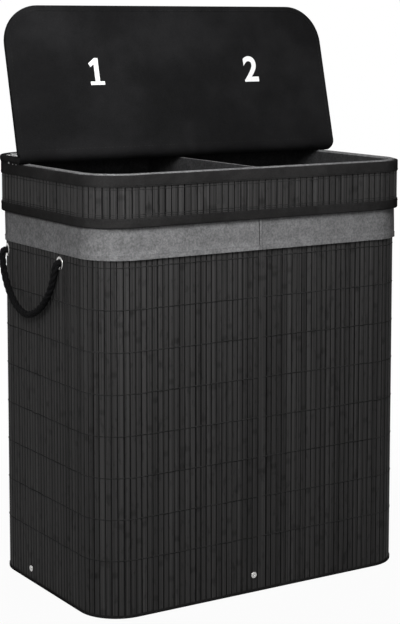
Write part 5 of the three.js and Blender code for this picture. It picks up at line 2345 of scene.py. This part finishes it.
class HAMPER_OT_bags(bpy.types.Operator):
    """Two hanging bags and the binding between them"""

    bl_idname = "hamper.bags"
    bl_label = "Liner bags"

    def execute(self, context):
        for word, side in SIDES:
            make_bag(side, word)
        make_divider()
        return {"FINISHED"}


class HAMPER_OT_collar(bpy.types.Operator):
    """The cap's slat collar and its bindings"""

    bl_idname = "hamper.collar"
    bl_label = "Collar"

    def execute(self, context):
        make_collar()
        return {"FINISHED"}


class HAMPER_OT_panel(bpy.types.Operator):
    """The fixed panel over the rear third"""

    bl_idname = "hamper.panel"
    bl_label = "Rear panel"

    def execute(self, context):
        make_panel()
        return {"FINISHED"}


class HAMPER_OT_lid(bpy.types.Operator):
    """The flap lid, standing open"""

    bl_idname = "hamper.lid"
    bl_label = "Lid"

    def execute(self, context):
        make_lid()
        return {"FINISHED"}


class HAMPER_OT_hinge(bpy.types.Operator):
    """The cloth hinge between panel and lid"""

    bl_idname = "hamper.hinge"
    bl_label = "Hinge cloth"

    def execute(self, context):
        make_hinge()
        make_hinge_roll()
        return {"FINISHED"}


class HAMPER_OT_numerals(bpy.types.Operator):
    """A plain numeral for each bin"""

    bl_idname = "hamper.numerals"
    bl_label = "Numerals"

    def execute(self, context):
        make_numerals()
        return {"FINISHED"}


OPERATORS = (
    HAMPER_OT_stage,
    HAMPER_OT_handles,
    HAMPER_OT_wall,
    HAMPER_OT_wall_cloth,
    HAMPER_OT_eyelets,
    HAMPER_OT_rivets,
    HAMPER_OT_base,
    HAMPER_OT_cuff,
    HAMPER_OT_bags,
    HAMPER_OT_collar,
    HAMPER_OT_panel,
    HAMPER_OT_lid,
    HAMPER_OT_hinge,
    HAMPER_OT_numerals,
)


class HAMPER_PT_panel(bpy.types.Panel):
    """The hamper's buttons, sizes and colours"""

    bl_idname = "HAMPER_PT_panel"
    bl_label = "Laundry hamper"
    bl_space_type = "VIEW_3D"
    bl_region_type = "UI"
    bl_category = "Hamper"

    def draw(self, context):
        for operator in OPERATORS:
            self.layout.operator(operator.bl_idname)
        for group in (context.scene.hamper_sizes, context.scene.hamper_colours):
            for key in group.__annotations__:
                self.layout.prop(group, key)


CLASSES = (HamperSizes, HamperColours, *OPERATORS, HAMPER_PT_panel)


def register():
    """Makes the settings, operators and panel known."""
    for kind in CLASSES:
        bpy.utils.register_class(kind)
    bpy.types.Scene.hamper_sizes = bpy.props.PointerProperty(type=HamperSizes)
    bpy.types.Scene.hamper_colours = bpy.props.PointerProperty(type=HamperColours)


def unregister():
    """Removes what register added."""
    del bpy.types.Scene.hamper_colours
    del bpy.types.Scene.hamper_sizes
    for kind in reversed(CLASSES):
        bpy.utils.unregister_class(kind)


def main():
    """Builds everything in order and notes the frame's box and the finished object's."""
    register()
    for operator in OPERATORS:
        getattr(bpy.ops.hamper, operator.bl_idname.split(".")[1])()
    dressed = [list(corner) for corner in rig.bounds()]
    with open(SIZE_FILE, "w") as file:
        json.dump({"cad": CAD_BOX, "visual": dressed}, file)


if __name__ == "__main__":
    main()
